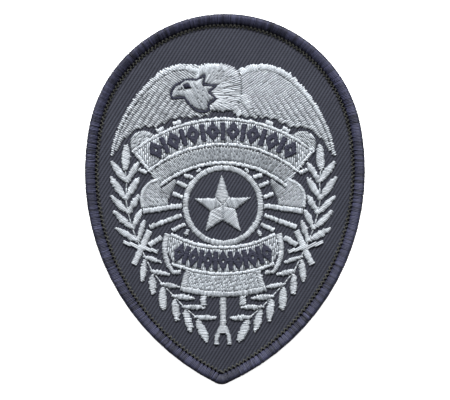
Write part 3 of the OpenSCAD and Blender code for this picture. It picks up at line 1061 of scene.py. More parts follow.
@dataclass
class SewnPiece:
    """One embroidered piece: threads laid over the plan of its CAD node, on an underlay.

    Args:
        node: the CAD node.
        finish: the thread.
        sewing: how it is sewn.
        seed: what its small irregularities start from.
        over: further ways in which it is sewn, on top.
        bands: satin columns that are sewn on top.
        relief: how high it stands above the cloth against the CAD node.
        grow: how far it reaches beyond the plan of the CAD node.
    """

    node: str
    finish: ThreadFinish
    sewing: Sewing
    seed: int
    over: tuple[Sewing, ...] = ()
    bands: tuple[Band, ...] = ()
    relief: float = 0.6
    grow: float = 0.08

    # Corners round a thread of fill and of satin
    FILL_CORNERS = 5
    SATIN_CORNERS = 6
    # A fill stitch's stations, as shares of it, and how many a satin thread has
    FILL_AT = np.array([0.0, 0.12, 0.35, 0.65, 0.88, 1.0])
    SATIN_STATIONS = 8
    # The distances over which a thread narrows towards a needle hole
    FILL_TAPER = 0.4
    SATIN_TAPER = 0.1
    # The shortest span that is sewn
    SHORTEST = 0.1
    # The longest span that one fill stitch covers, and how near a hole may be to its ends, in stitches
    UNBROKEN = 1.3
    MARGIN = 0.4
    # Where the holes of one row after another are, in stitches
    STAGGER = (0.0, 0.5, 0.25, 0.75)
    # A thread's thickness against its width, and how much of its lower half is sunk in the cloth
    THICK = 0.6
    SUNK = 0.6
    # A thread's height at the piece's edge against its full height, and how fast a narrow piece gets lower
    EDGE_HEIGHT = 0.15
    NARROW = 0.6
    # The share of a fill stitch at either end where it comes up from its needle hole
    HOLE = 0.3
    # How much the threads' heights, places and widths stray: shares of them, but the places in millimetres
    HEIGHT_STRAY = 0.04
    PLACE_STRAY = 0.02
    WIDTH_STRAY = 0.06
    # How far the underlay is drawn in, its height against the piece's, and how near doubled corners are
    INSET = 0.09
    UNDERLAY_SHARE = 0.55
    DOUBLED = 0.001

    @property
    def slot(self) -> str:
        """Gives the record's material slot.

        Returns:
            The slot of the thread.
        """
        return self.finish.slot

    def build(self) -> Thing:
        """Builds the piece and takes the node's place.

        Returns:
            The piece.
        """
        plan = Footprint(self.node, self.grow)
        random = np.random.default_rng(self.seed)
        threads = Threads(self.FILL_CORNERS if self.sewing.stitch else self.SATIN_CORNERS)
        base = CLOTH + (plan.low - CLOTH) * self.relief
        height = (plan.high - plan.low) * self.relief
        for sewing in (self.sewing, *self.over):
            ends = []
            for part in plan.parts:
                ends += self.ends(part, sewing, random)
            self._lay(threads, sewing, np.array(ends), base, height * sewing.level, random)
        for band in self.bands:
            self._lay(threads, band.sewing, band.ends(random), CLOTH + band.base, band.height, random)
        laid = threads.place(self.node + "_laid", self.finish)
        piece = Mesh.join(self.node + "_threads", laid, self._underlay())
        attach(piece, BODY)
        self.slot
        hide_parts(self.node)
        LOG.info("%s: %d faces", piece.name, len(piece.data.polygons))
        return piece

    def ends(self, part: Array, sewing: Sewing, random: Random) -> Stitches:
        """Gives the stitches of one loose part.

        Args:
            part: the part's faces.
            sewing: how it is sewn.
            random: draws the irregularities.

        Returns:
            A start, an end, and the distances from both to the ends of the span, for each stitch.
        """
        ends = []
        for number, (row, span) in enumerate(self.spans(part, sewing)):
            ends += self._stitches(sewing, row, span, number, random)
        return ends

    def spans(self, part: Array, sewing: Sewing) -> Iterator[tuple[Row, Point]]:
        """Finds where a loose part is sewn.

        Args:
            part: the part's faces.
            sewing: how it is sewn.

        Yields:
            A row and a span of it.
        """
        for row in sewing.rows(part):
            for low, high in Footprint.spans(part, row):
                yield row, (low + sewing.trim, high - sewing.trim)

    def _stitches(self, sewing: Sewing, row: Row, span: Point, number: int, random: Random) -> Stitches:
        """Splits one span of a row into stitches.

        Args:
            sewing: how the piece is sewn.
            row: the row.
            span: where the row lies on the piece.
            number: the row's number, which staggers the needle's holes.
            random: draws the irregularities.

        Returns:
            The stitches, as ends gives them.
        """
        low, high = (end + random.normal(0, sewing.ragged) for end in span)
        if high - low < self.SHORTEST:
            return []
        holes = [low, high]
        if sewing.stitch and high - low > sewing.stitch * self.UNBROKEN:
            if sewing.line_angle is None:
                stagger = self.STAGGER[number % len(self.STAGGER)]
                first = (math.floor(low / sewing.stitch) + stagger) * sewing.stitch
                inner = np.arange(first, high, sewing.stitch)
            else:
                aside = heading(sewing.line_angle + 90)
                rate = float(row.ahead @ aside)
                here = float(row.start @ aside)
                numbers = sorted(((here + low * rate) / sewing.stitch, (here + high * rate) / sewing.stitch))
                lines = np.arange(math.ceil(numbers[0]), math.floor(numbers[1]) + 1)
                inner = np.sort((lines * sewing.stitch - here) / rate)
            inner = inner + random.normal(0, sewing.ragged, len(inner))
            margin = sewing.stitch * self.MARGIN
            holes = [low, *[hole for hole in inner if low + margin < hole < high - margin], high]
        stitches = []
        for start, end in zip(holes[:-1], holes[1:]):
            places = [*(row.start + row.ahead * start), *(row.start + row.ahead * end)]
            stitches.append([*places, start - low, high - end])
        return stitches

    def _lay(
        self, threads: Threads, sewing: Sewing, ends: Array, base: float, height: float, random: Random
    ) -> None:
        """Lays the stitches as threads that rise from the cloth.

        Args:
            threads: what the threads are added to.
            sewing: how the piece is sewn.
            ends: the stitches, as ends gives them.
            base: the height of the cloth.
            height: the height of the piece.
            random: draws the irregularities.
        """
        count = len(ends)
        if not count:
            return
        start, end = ends[:, :2], ends[:, 2:4]
        run = end - start
        length = np.linalg.norm(run, axis=1)
        at = self._stations(sewing)
        fade = self._fade(sewing, (start + end)[:, 1] / 2)
        level = self._domes(sewing, ends[:, 4], length, ends[:, 5]) * height
        level *= (1 + random.normal(0, self.HEIGHT_STRAY, count))[:, None]
        if sewing.stitch:
            hole = np.clip(np.minimum(at, 1 - at) / self.HOLE, 0, 1)
            level *= 1 - sewing.dip * (1 - fade) * (1 - np.sqrt(1 - (1 - hole) ** 2))
        foot = base - self.SUNK * self.THICK / 2 * sewing.width
        flat = start[:, None, :] + at[None, :, None] * run[:, None, :]
        path = np.concatenate([flat, (foot + level)[:, :, None]], axis=2)
        aside = level_sides(run)
        path += aside[:, None, :] * random.normal(0, self.PLACE_STRAY, count)[:, None, None]
        reach = self.FILL_TAPER if sewing.stitch else self.SATIN_TAPER
        free = np.clip(np.minimum(at, 1 - at) * length[:, None] / reach, 0, 1)
        pinch = sewing.pinch + (1 - sewing.pinch) * fade
        taper = pinch + (1 - pinch) * free
        half = taper * sewing.width / 2 * (1 + random.normal(0, self.WIDTH_STRAY, count))[:, None]
        tone = np.clip(random.normal(sewing.tone, sewing.spread, count), 0, 1)
        threads.lay(path, aside, half, self.THICK, tone)

    def _stations(self, sewing: Sewing) -> Array:
        """Gives the places of a thread's stations, as shares of it, closer together near its ends."""
        satin = (1 - np.cos(np.linspace(0, math.pi, self.SATIN_STATIONS))) / 2
        return self.FILL_AT if sewing.stitch else satin

    def _domes(self, sewing: Sewing, before: Array, length: Array, after: Array) -> Array:
        """Gives the height at each station, rising from both ends of the span to 1.

        Args:
            sewing: how the piece is sewn.
            before: the distance from the start of the span to each stitch.
            length: the length of each stitch.
            after: the distance from each stitch to the end of the span.

        Returns:
            The heights, stitches by stations.
        """
        span = before + length + after
        from_low = before[:, None] + self._stations(sewing) * length[:, None]
        inside = np.minimum(from_low, span[:, None] - from_low)
        share = np.clip(inside / np.minimum(sewing.rise, span / 2)[:, None], 0, 1)
        dome = self.EDGE_HEIGHT + (1 - self.EDGE_HEIGHT) * np.sqrt(np.clip(1 - (1 - share) ** 2, 0, 1))
        narrow = np.minimum(1, span / (2 * sewing.rise)) ** self.NARROW
        return dome * narrow[:, None]

    @staticmethod
    def _fade(sewing: Sewing, places: Array) -> Array:
        """Gives how far the dips have faded, from 0 to 1.

        Args:
            sewing: how the piece is sewn.
            places: each stitch's distance up the patch.

        Returns:
            The fading, stitches by 1.
        """
        if sewing.calm is None:
            return np.zeros((len(places), 1))
        first, last = sewing.calm
        return np.clip((places - ART[1] - first) / (last - first), 0, 1)[:, None]

    def _underlay(self) -> Thing:
        """Makes the low pad that the threads cover: the node's own shape, drawn in and flattened, at tone 0 as
        painted shade in the gaps between the threads.

        Returns:
            The pad.
        """
        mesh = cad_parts[self.node].data.copy()
        mesh.materials.clear()
        pad = Mesh.place(self.node + "_underlay", mesh, self.finish.material())
        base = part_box(self.node)[0].z
        Mesh.only(pad)
        bpy.ops.object.mode_set(mode="EDIT")
        bpy.ops.mesh.select_all(action="SELECT")
        bpy.ops.mesh.remove_doubles(threshold=self.DOUBLED * MM)
        bpy.ops.transform.shrink_fatten(value=-self.INSET * MM)
        bpy.ops.transform.resize(value=(1, 1, self.UNDERLAY_SHARE), center_override=(0, 0, base))
        bpy.ops.transform.resize(value=(1, 1, self.relief), center_override=(0, 0, CLOTH * MM))
        bpy.ops.object.mode_set(mode="OBJECT")
        for layer in list(mesh.uv_layers):
            mesh.uv_layers.remove(layer)
        mesh.uv_layers.new(name="thread")
        # Tone 0, the darkest: painted shade where the pad shows between the threads.
        tone = mesh.attributes.new("tone", "FLOAT", "POINT")
        tone.data.foreach_set("value", np.zeros(len(mesh.vertices)))
        return pad


@dataclass
class LinePiece(SewnPiece):
    """A thin line of running stitches that follow both sides of their CAD node's plan.

    Args:
        longest: the longest stitch.
    """

    longest: float = 1.1

    # How far each stitch's ends count as being from the ends of the line, where it would get lower
    CLEAR = 1.0

    def ends(self, part: Array, sewing: Sewing, random: Random) -> Stitches:
        """Gives the stitches from corner to corner.

        Args:
            part: the part's faces.
            sewing: how it is sewn.
            random: draws the irregularities, which the line leaves alone.

        Returns:
            A start, an end, and twice the clear distance, for each stitch.
        """
        ends = []
        for here, there in Footprint.outline(part):
            count = math.ceil(math.dist(here, there) / self.longest)
            stops = np.linspace(here, there, count + 1)
            for start, end in zip(stops[:-1], stops[1:]):
                ends.append([*start, *end, self.CLEAR, self.CLEAR])
        return ends


@dataclass
class Eagle:
    """The eagle: two wings with their leading ridges, the chest, and the outlined head.

    Args:
        fan: the point that the chest's stitches leave.
        fill_angle: the angle of the right wing's stitches.
        feather_angle: the angle of the right wing's feathers.
        feather_row: the distance between two lines of needle holes on the wings.
        hump_slant: how far the stitches over the right wing's hump lean from square.
    """

    fan: Point = (-5.6, 26.8)
    fill_angle: float = 36.0
    feather_angle: float = -57.0
    feather_row: float = 1.32
    hump_slant: float = 8.0

    # The satin columns over the chest's top and its foot, along the crown of the head, and over a wing's hump;
    # the bright tones of those on the chest's top, the crown and the humps are painted highlights where they
    # face the light
    # [x, y]
    CREST = ((-6.4, 32.3), (-4.6, 32.8), (-2.8, 33.1), (-0.8, 33.1), (1.2, 32.6), (2.8, 31.4), (3.7, 29.9))
    FOOT = ((-3.1, 23.5), (-1.7, 23.15), (-0.3, 23.1), (1.3, 23.4), (2.6, 24.2), (3.4, 25.6), (3.7, 27.2))
    CROWN = ((-9.7, 29.3), (-8.8, 29.75), (-7.6, 29.85), (-6.2, 29.75), (-5.2, 29.9))
    HUMPS = {
        "left": (
            (-15.86, 30.96), (-14.18, 31.99), (-12.03, 32.85), (-9.56, 33.11), (-7.55, 32.7), (-5.8, 31.99),
        ),
        "right": (
            (4.03, 31.65), (5.94, 32.5), (8.22, 33.0), (10.25, 33.1), (12.4, 32.7),
            (14.8, 31.6), (16.96, 30.07), (18.88, 28.0), (21.04, 25.4), (22.95, 22.4),
        ),
    }
    HUMP_WIDTHS = {"left": (0.9, 1.7), "right": (1.7, 0.7)}
    # The short feathers where the right wing meets the chest
    COVERTS = (
        ((4.6, 26.4), (5.5, 24.7), (6.4, 23.0)),
        ((2.6, 23.6), (3.3, 22.6), (4.2, 21.6)),
    )
    # How deep a wing's feather rows are, where they start to fade and are gone, and how bright the wing is
    WING_DIP = {"left": 0.28, "right": 0.22}
    WING_CALM = {"left": (25.0, 30.0), "right": (22.0, 28.0)}
    WING_TONE = {"left": 0.46, "right": 0.58}

    def build(self) -> None:
        """Sews every piece of the eagle."""
        for number, (side, flip) in enumerate(SIDES.items()):
            wing = self._wing_sewing(side, flip)
            coverts = self._coverts() if side == "right" else ()
            SewnPiece(f"wing_{side}", SILVER, wing, seed=10 + number, bands=coverts).build()
            ridge = replace(wing, rise=0.4, pinch=0.5, calm=None, tone=0.74)
            slant = flip * self.hump_slant
            # The hump's bright tone is a painted highlight on the satin that faces the light.
            satin = Sewing(Run.ACROSS, angle=slant, rise=0.7, ragged=0.15, tone=0.95, spread=0.18)
            hump = Band(self.HUMPS[side], self.HUMP_WIDTHS[side], base=0.08, height=0.38, sewing=satin)
            SewnPiece(f"wing_ridge_{side}", SILVER, ridge, seed=20 + number, bands=(hump,)).build()
        self._chest()
        self._head()

    def _wing_sewing(self, side: str, flip: int) -> Sewing:
        """Gives the threads of one wing, whose needle holes line up as feathers.

        Args:
            side: the wing's side.
            flip: the sign of X on that side.

        Returns:
            How the wing is sewn.
        """
        return Sewing(
            Run.PARALLEL, angle=flip * self.fill_angle, stitch=self.feather_row,
            line_angle=flip * self.feather_angle, pitch=0.48, width=0.5, dip=self.WING_DIP[side],
            pinch=0.25, calm=self.WING_CALM[side], rise=0.22, ragged=0.1, tone=self.WING_TONE[side],
            spread=0.12,
        )

    def _coverts(self) -> tuple[Band, ...]:
        """Gives the short feathers on the right wing."""
        satin = Sewing(Run.ACROSS, ragged=0.1, tone=0.75, spread=0.2)
        return tuple(Band(line, (1.9, 1.5), base=0.08, height=0.3, sewing=satin) for line in self.COVERTS)

    def _chest(self) -> None:
        """Sews the chest: a fan of long stitches between two satin columns."""
        fill = Sewing(
            Run.RADIAL, middle=self.fan, stitch=3.4, pitch=0.36, rise=0.25, dip=0.2, ragged=0.14, tone=0.55,
            spread=0.26,
        )
        # The crest's bright tone is a painted highlight along the chest's top edge, which faces the light.
        crest = Sewing(Run.ACROSS, angle=6, rise=0.8, ragged=0.15, tone=0.95)
        foot = Sewing(Run.ACROSS, rise=0.5, ragged=0.1, tone=0.6, spread=0.2)
        columns = (
            Band(self.CREST, (1.9, 1.2), base=0.1, height=0.36, sewing=crest),
            Band(self.FOOT, (1.2, 1.1), base=0.08, height=0.3, sewing=foot),
        )
        SewnPiece("chest", SILVER, fill, seed=31, bands=columns).build()

    def _head(self) -> None:
        """Sews the head's face, its outline and its eye."""
        face = Sewing(
            Run.PARALLEL, angle=-62, stitch=4.6, pitch=0.33, rise=0.2, dip=0.05, ragged=0.04, tone=0.57,
            spread=0.08,
        )
        # Tone 1: the crown band is a painted highlight along the top of the head, laid as thin satin.
        satin = Sewing(Run.ACROSS, rise=0.3, ragged=0.05, tone=1.0, spread=0.05)
        crown = Band(self.CROWN, (0.8, 0.9), base=0.3, height=0.14, sewing=satin)
        SewnPiece("head", GREY, face, seed=32, bands=(crown,)).build()
        line = Sewing(Run.PARALLEL, width=0.34, tone=0.35, spread=0.1)
        LinePiece("head_outline", NAVY, line, seed=33, grow=-0.11).build()
        SewnPiece("eye", NAVY, Sewing(Run.PARALLEL, angle=80, tone=0.3), seed=34).build()


@dataclass
class Banners:
    """The two curved banners with their plain motifs, the ribbon behind the upper one, and the plaque.

    Args:
        upper: the middle of the upper banner's arcs.
        lower: the middle of the lower banner's arcs.
        ribbon_fan: the point that the ribbon's stitches leave.
        ribbon_pitch: the distance between the ribbon's long stitches.
        hook: the middle of the right rolled end of the lower banner.
    """

    upper: Point = (0.0, -13.35)
    lower: Point = (0.0, 15.25)
    ribbon_fan: Point = (0.0, -5.9)
    ribbon_pitch: float = 0.7
    hook: Point = (6.5, -9.5)

    # The satin edging round a ribbon end's outer side, right side
    # [x, y]
    LOBE_EDGE = ((15.6, 6.2), (17.5, 5.35), (18.85, 3.9), (19.5, 2.2), (19.5, 0.9), (19.25, -0.3))
    # What a piece's seed starts from, before the length of its name is added
    SEED = 40
    # The motifs on both banners: satin that follows the banner's arc
    MOTIF = Sewing(Run.POLAR, pitch=0.3, rise=0.2, tone=0.45, spread=0.08)

    def build(self) -> None:
        """Sews the banners, ribbons and rolled ends."""
        self._upper()
        self._ribbon()
        self._lower()
        for side, flip in SIDES.items():
            self._lobe(side, flip)
            fold = Sewing(Run.PARALLEL, angle=flip * 45, stitch=2.0, dip=0.2, rise=0.3, tone=0.4, spread=0.14)
            self._sew(f"ribbon_fold_{side}", GREY, fold, grow=0.16)
            scroll = Sewing(Run.PARALLEL, angle=flip * -52, stitch=1.8, dip=0.3, rise=0.5, tone=0.6)
            self._sew(f"scroll_top_{side}", SILVER, scroll)
            turned = Sewing(Run.RADIAL, middle=(flip * self.hook[0], self.hook[1]), rise=0.5, tone=0.62)
            self._sew(f"scroll_bottom_{side}", SILVER, turned)

    def _upper(self) -> None:
        """Sews the upper banner."""
        dashes = Sewing(
            Run.PARALLEL, angle=90, stitch=1.7, pitch=0.5, width=0.44, rise=0.15, tone=0.8, spread=0.22
        )
        self._sew("banner_top", SILVER, dashes)
        self._sew("banner_top_rim", SILVER, Sewing(Run.POLAR, middle=self.upper, ragged=0.1, tone=0.8))
        self._sew("top_marks", NAVY, replace(self.MOTIF, middle=self.upper))

    def _ribbon(self) -> None:
        """Sews the ribbon with long stitches over a fill that stays back from both edges."""
        fill = Sewing(
            Run.RADIAL, middle=self.ribbon_fan, stitch=1.4, pitch=self.ribbon_pitch, phase=0.5, trim=0.3,
            level=0.7, width=0.42, dip=0.3, rise=0.2, tone=0.45, spread=0.12,
        )
        long = Sewing(
            Run.RADIAL, middle=self.ribbon_fan, pitch=self.ribbon_pitch, width=0.36, rise=0.3, ragged=0.12,
            tone=0.5,
        )
        SewnPiece("ribbon_band", GREY, fill, seed=51, over=(long,)).build()
        loops = Sewing(Run.RADIAL, middle=self.ribbon_fan, rise=0.3, ragged=0.09, tone=0.75, spread=0.2)
        self._sew("band_rim", SILVER, loops)

    def _lower(self) -> None:
        """Sews the lower banner and the plaque."""
        dashes = Sewing(Run.PARALLEL, angle=84, stitch=1.6, pitch=0.46, width=0.43, tone=0.72, spread=0.22)
        weave = Sewing(
            Run.PARALLEL, angle=62, stitch=1.3, pitch=0.42, width=0.5, dip=0.2, rise=0.2, tone=0.92,
            spread=0.3,
        )
        self._sew("banner_bottom", SILVER, dashes)
        self._sew("banner_bottom_rim", SILVER, Sewing(Run.RADIAL, middle=self.lower, ragged=0.09, tone=0.8))
        self._sew("bottom_marks", NAVY, replace(self.MOTIF, middle=self.lower))
        self._sew("plaque", GREY, weave)
        self._sew("plaque_rim", SILVER, Sewing(Run.POLAR, middle=self.lower, rise=0.5, ragged=0.1))

    def _lobe(self, side: str, flip: int) -> None:
        """Sews one of the ribbon's turned ends, with its satin edging.

        Args:
            side: the side that it is on.
            flip: the sign of X on that side.
        """
        fill = Sewing(Run.PARALLEL, angle=flip * 50, stitch=2.6, dip=0.15, rise=0.3, spread=0.12)
        satin = Sewing(Run.ACROSS, pitch=0.34, width=0.38, rise=0.3, tone=0.85, spread=0.12)
        line = tuple((flip * x, y) for x, y in self.LOBE_EDGE)
        edging = Band(line, (0.8, 0.8), base=0.08, height=0.36, sewing=satin)
        self._sew(f"ribbon_lobe_{side}", SILVER, fill, grow=0.14, bands=(edging,))

    def _sew(self, node: str, finish: ThreadFinish, sewing: Sewing, **options: Any) -> None:
        """Sews one node from the seed that goes with its name."""
        SewnPiece(node, finish, sewing, self.SEED + len(node), **options).build()


@dataclass
class StarPiece(SewnPiece):
    """The star: each arm is sewn across its own length, up to its neighbours.

    Args:
        middle: the star's middle in the embroidery's frame.
        slant: how far the stitches lean from square to an arm.
    """

    middle: Point = (-0.1, 0.0)
    slant: float = 6.0

    ARMS = 5
    # How far the stitches of one arm reach over the next
    LAP = 0.1

    def spans(self, part: Array, sewing: Sewing) -> Iterator[tuple[Row, Point]]:
        """Gives the rows of each arm, cut off halfway to the next arms.

        Args:
            part: the star's faces.
            sewing: how it is sewn.

        Yields:
            A row and a span of it.
        """
        middle = ART + np.array(self.middle)
        corners = np.unique(np.round(part.reshape(-1, 2), Footprint.DECIMALS), axis=0) - middle
        tips = sorted(corners, key=lambda corner: -np.linalg.norm(corner))[: self.ARMS]
        for tip in tips:
            reach = np.linalg.norm(tip)
            out = tip / reach
            across = heading(math.degrees(math.atan2(tip[1], tip[0])) + 90 + self.slant)
            count = round(reach / sewing.pitch)
            for step in range(count):
                away = (step + 0.5) * reach / count
                row = Row(middle + out * away, across)
                room = away * math.tan(math.pi / self.ARMS) + self.LAP
                for low, high in Footprint.spans(part, row):
                    if low < self.LAP and high > -self.LAP:
                        yield row, (max(low, -room), min(high, room))


@dataclass
class Emblem:
    """The ring, the star inside it and the rays that leave it.

    Args:
        grow: how far the pieces reach beyond the plans of their CAD nodes.
        ring_relief: how high the ring stands above the cloth against its CAD node.
    """

    grow: float = 0.05
    ring_relief: float = 0.45

    def build(self) -> None:
        """Sews the emblem."""
        ring = Sewing(Run.RADIAL, rise=0.6)
        SewnPiece("ring", SILVER, ring, seed=61, relief=self.ring_relief, grow=self.grow).build()
        arms = Sewing(Run.ACROSS, pitch=0.34, width=0.38, rise=0.6, tone=0.48, spread=0.14)
        StarPiece("star", SILVER, arms, seed=62, grow=self.grow).build()
        rays = Sewing(Run.ACROSS, ragged=0.08, tone=0.68)
        for number, side in enumerate(SIDES):
            SewnPiece(f"rays_{side}", SILVER, rays, seed=63 + number, grow=self.grow).build()


@dataclass
class Wreath:
    """The laurel wreath with its ties, the forked stem and the thin stems between the sprigs.

    Args:
        leaf_slant: how far a leaf's stitches lean from square to it.
        leaf_grow: how far a leaf reaches beyond the plan of its CAD node.
        stem_width: the width of a stem's thread.
        stem_stitch: the length of a stem's stitches.
    """

    leaf_slant: float = 22.0
    leaf_grow: float = 0.03
    stem_width: float = 0.32
    stem_stitch: float = 1.5

    SPRIGS = 11
    # The seed of the first side's sprigs, before their numbers, and what the second side adds
    SEED = 70
    SIDE_SEED = 20
    # The sprigs above the tie, and where their inner leaf's heel starts, passes and ends from the root
    JOINED = 5
    HEEL = (0.1, 0.6, 1.2)
    HEEL_WIDTHS = (1.1, 1.35)
    # Where the top leaf and then each sprig has its root, right side
    # [x, y]
    ROOTS = (
        (23.4, 8.4), (23.1, 5.6), (23.3, 1.5), (22.7, -1.9), (21.7, -5.6), (20.4, -8.6),
        (18.7, -12.3), (17.0, -15.7), (14.6, -18.8), (11.8, -21.7), (9.4, -24.3), (6.5, -26.7),
    )
    # A stem's stitch: its stations' heights above the cloth, from one needle hole to the next
    STEM_HEIGHTS = np.array([-0.16, 0.02, 0.07, 0.07, 0.02, -0.16])
    STEM_THICK = 0.8
    STEM_TONE = 0.55
    STEM_SPREAD = 0.12
    STEM_SEED = 140

    def build(self) -> None:
        """Sews the wreath."""
        for number, (side, flip) in enumerate(SIDES.items()):
            slanted = Sewing(Run.ACROSS, angle=flip * self.leaf_slant, rise=0.5, ragged=0.1, tone=0.64)
            for index in range(1, self.SPRIGS + 1):
                name = f"sprig_{index}_{side}"
                seed = self.SEED + index + self.SIDE_SEED * number
                heel = (self._heel(name, self.ROOTS[index], flip, slanted),) if index <= self.JOINED else ()
                SewnPiece(name, SILVER, slanted, seed, bands=heel, grow=self.leaf_grow).build()
            SewnPiece(f"leaf_top_{side}", SILVER, slanted, seed=115 + number, grow=0.0).build()
            tie = Sewing(Run.ACROSS, rise=0.45, tone=0.66)
            SewnPiece(f"tie_{side}", SILVER, tie, seed=117 + number, grow=0.0).build()
        fork = Sewing(Run.PARALLEL, rise=0.45, pitch=0.34, spread=0.1)
        SewnPiece("fork", SILVER, fork, seed=119, grow=0.0).build()
        self._stems()

    def _heel(self, name: str, place: Point, flip: int, sewing: Sewing) -> Band:
        """Gives the stitches that join a sprig's inner leaf to the root, where the outer leaf starts.

        Args:
            name: the sprig's node.
            place: the root's place on the right side.
            flip: the sign of X on the sprig's side.
            sewing: how the leaves are sewn.

        Returns:
            The heel's column.
        """
        leaves = Footprint(name, 0.0).parts[:2]
        middles = [leaf.reshape(-1, 2).mean(axis=0) - ART for leaf in leaves]
        inner = min(middles, key=lambda middle: abs(middle[0]))
        root = np.array(place) * (flip, 1)
        out = (inner - root) / np.linalg.norm(inner - root)
        stops = tuple(tuple(root + out * away) for away in self.HEEL)
        return Band(stops, self.HEEL_WIDTHS, base=0.02, height=0.34, sewing=sewing)

    def _stems(self) -> None:
        """Sews the running stitches from root to root."""
        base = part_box("tie_left")[0].z / MM
        at = np.linspace(0, 1, len(self.STEM_HEIGHTS))
        paths = []
        for flip in SIDES.values():
            roots = ART + np.array(self.ROOTS) * (flip, 1)
            for here, there in zip(roots[:-1], roots[1:]):
                count = max(1, round(np.linalg.norm(there - here) / self.stem_stitch))
                for start in np.arange(count) / count:
                    share = start + at / count
                    flat = here + share[:, None] * (there - here)
                    paths.append(np.column_stack([flat, base + self.STEM_HEIGHTS]))
        path = np.array(paths)
        half = np.full(path.shape[:2], self.stem_width / 2)
        random = np.random.default_rng(self.STEM_SEED)
        tone = random.normal(self.STEM_TONE, self.STEM_SPREAD, len(path)).clip(0, 1)
        threads = Threads()
        threads.lay(path, level_sides(path[:, -1] - path[:, 0]), half, self.STEM_THICK, tone)
        piece = threads.place("stems", SILVER)
        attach(piece, BODY)
        LOG.info("stems: %d stitches", len(path))


class Outline:
    """The patch's outer edge, read from the border's mesh: a closed line, measured along its length."""

    # The decimals to which the border's corners are the same
    DECIMALS = 4
    # How far from halfway up the border an outermost corner may be
    HALFWAY = 0.002

    def __init__(self) -> None:
        """Reads the border's outermost corners, which are halfway up it."""
        points = np.unique(np.round(mesh_points(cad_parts["border"].data), self.DECIMALS), axis=0)
        self.thick = points[:, 2].max()
        ring = points[np.abs(points[:, 2] - self.thick / 2) < self.HALFWAY][:, :2]
        self.ring = ring[np.argsort(np.arctan2(ring[:, 1], ring[:, 0]))]
        self.closed = np.vstack([self.ring, self.ring[:1]])
        self.at = np.concatenate([[0], np.cumsum(np.linalg.norm(np.diff(self.closed, axis=0), axis=1))])
        self.length = self.at[-1]
        inward = left_sides(np.roll(self.ring, -1, axis=0) - np.roll(self.ring, 1, axis=0))
        self.inward = np.vstack([inward, inward[:1]])

    def point(self, along: Array, inset: Array) -> Array:
        """Gives points near the edge.

        Args:
            along: the distance along the edge to each point.
            inset: the distance in from the edge.

        Returns:
            The points, with x and y last.
        """
        place = along % self.length
        flat = [np.interp(place, self.at, self.closed[:, axis]) for axis in (0, 1)]
        inward = [np.interp(place, self.at, self.inward[:, axis]) for axis in (0, 1)]
        return np.stack([flat[axis] + inset * inward[axis] for axis in (0, 1)], axis=-1)

    def drawn_in(self, inset: float) -> Array:
        """Gives the edge's corners, drawn in by a distance."""
        return self.point(self.at[:-1], np.full(len(self.ring), inset))

    def depth(self, points: Array) -> Array:
        """Measures how far points are from the edge.

        Args:
            points: the points, points by 2.

        Returns:
            The distance of each one.
        """
        start = self.closed[:-1]
        step = np.diff(self.closed, axis=0)
        offset = points[:, None, :] - start[None, :, :]
        share = np.clip((offset * step).sum(axis=2) / (step**2).sum(axis=1), 0, 1)
        return np.linalg.norm(offset - share[:, :, None] * step, axis=2).min(axis=1)

    def chord(self, start: Array, ahead: Array, inset: float) -> Point:
        """Finds where a line lies inside the edge.

        Args:
            start: a point of the line.
            ahead: the line's direction.
            inset: how far the edge is drawn in.

        Returns:
            The distances from the point to where the line comes in and goes out.
        """
        offset = self.drawn_in(inset) - start
        aside = offset @ np.array([-ahead[1], ahead[0]])
        along = offset @ ahead
        after, there = np.roll(aside, -1), np.roll(along, -1)
        crosses = aside * after < 0
        share = aside[crosses] / (aside[crosses] - after[crosses])
        hits = along[crosses] + share * (there[crosses] - along[crosses])
        return float(hits.min()), float(hits.max())


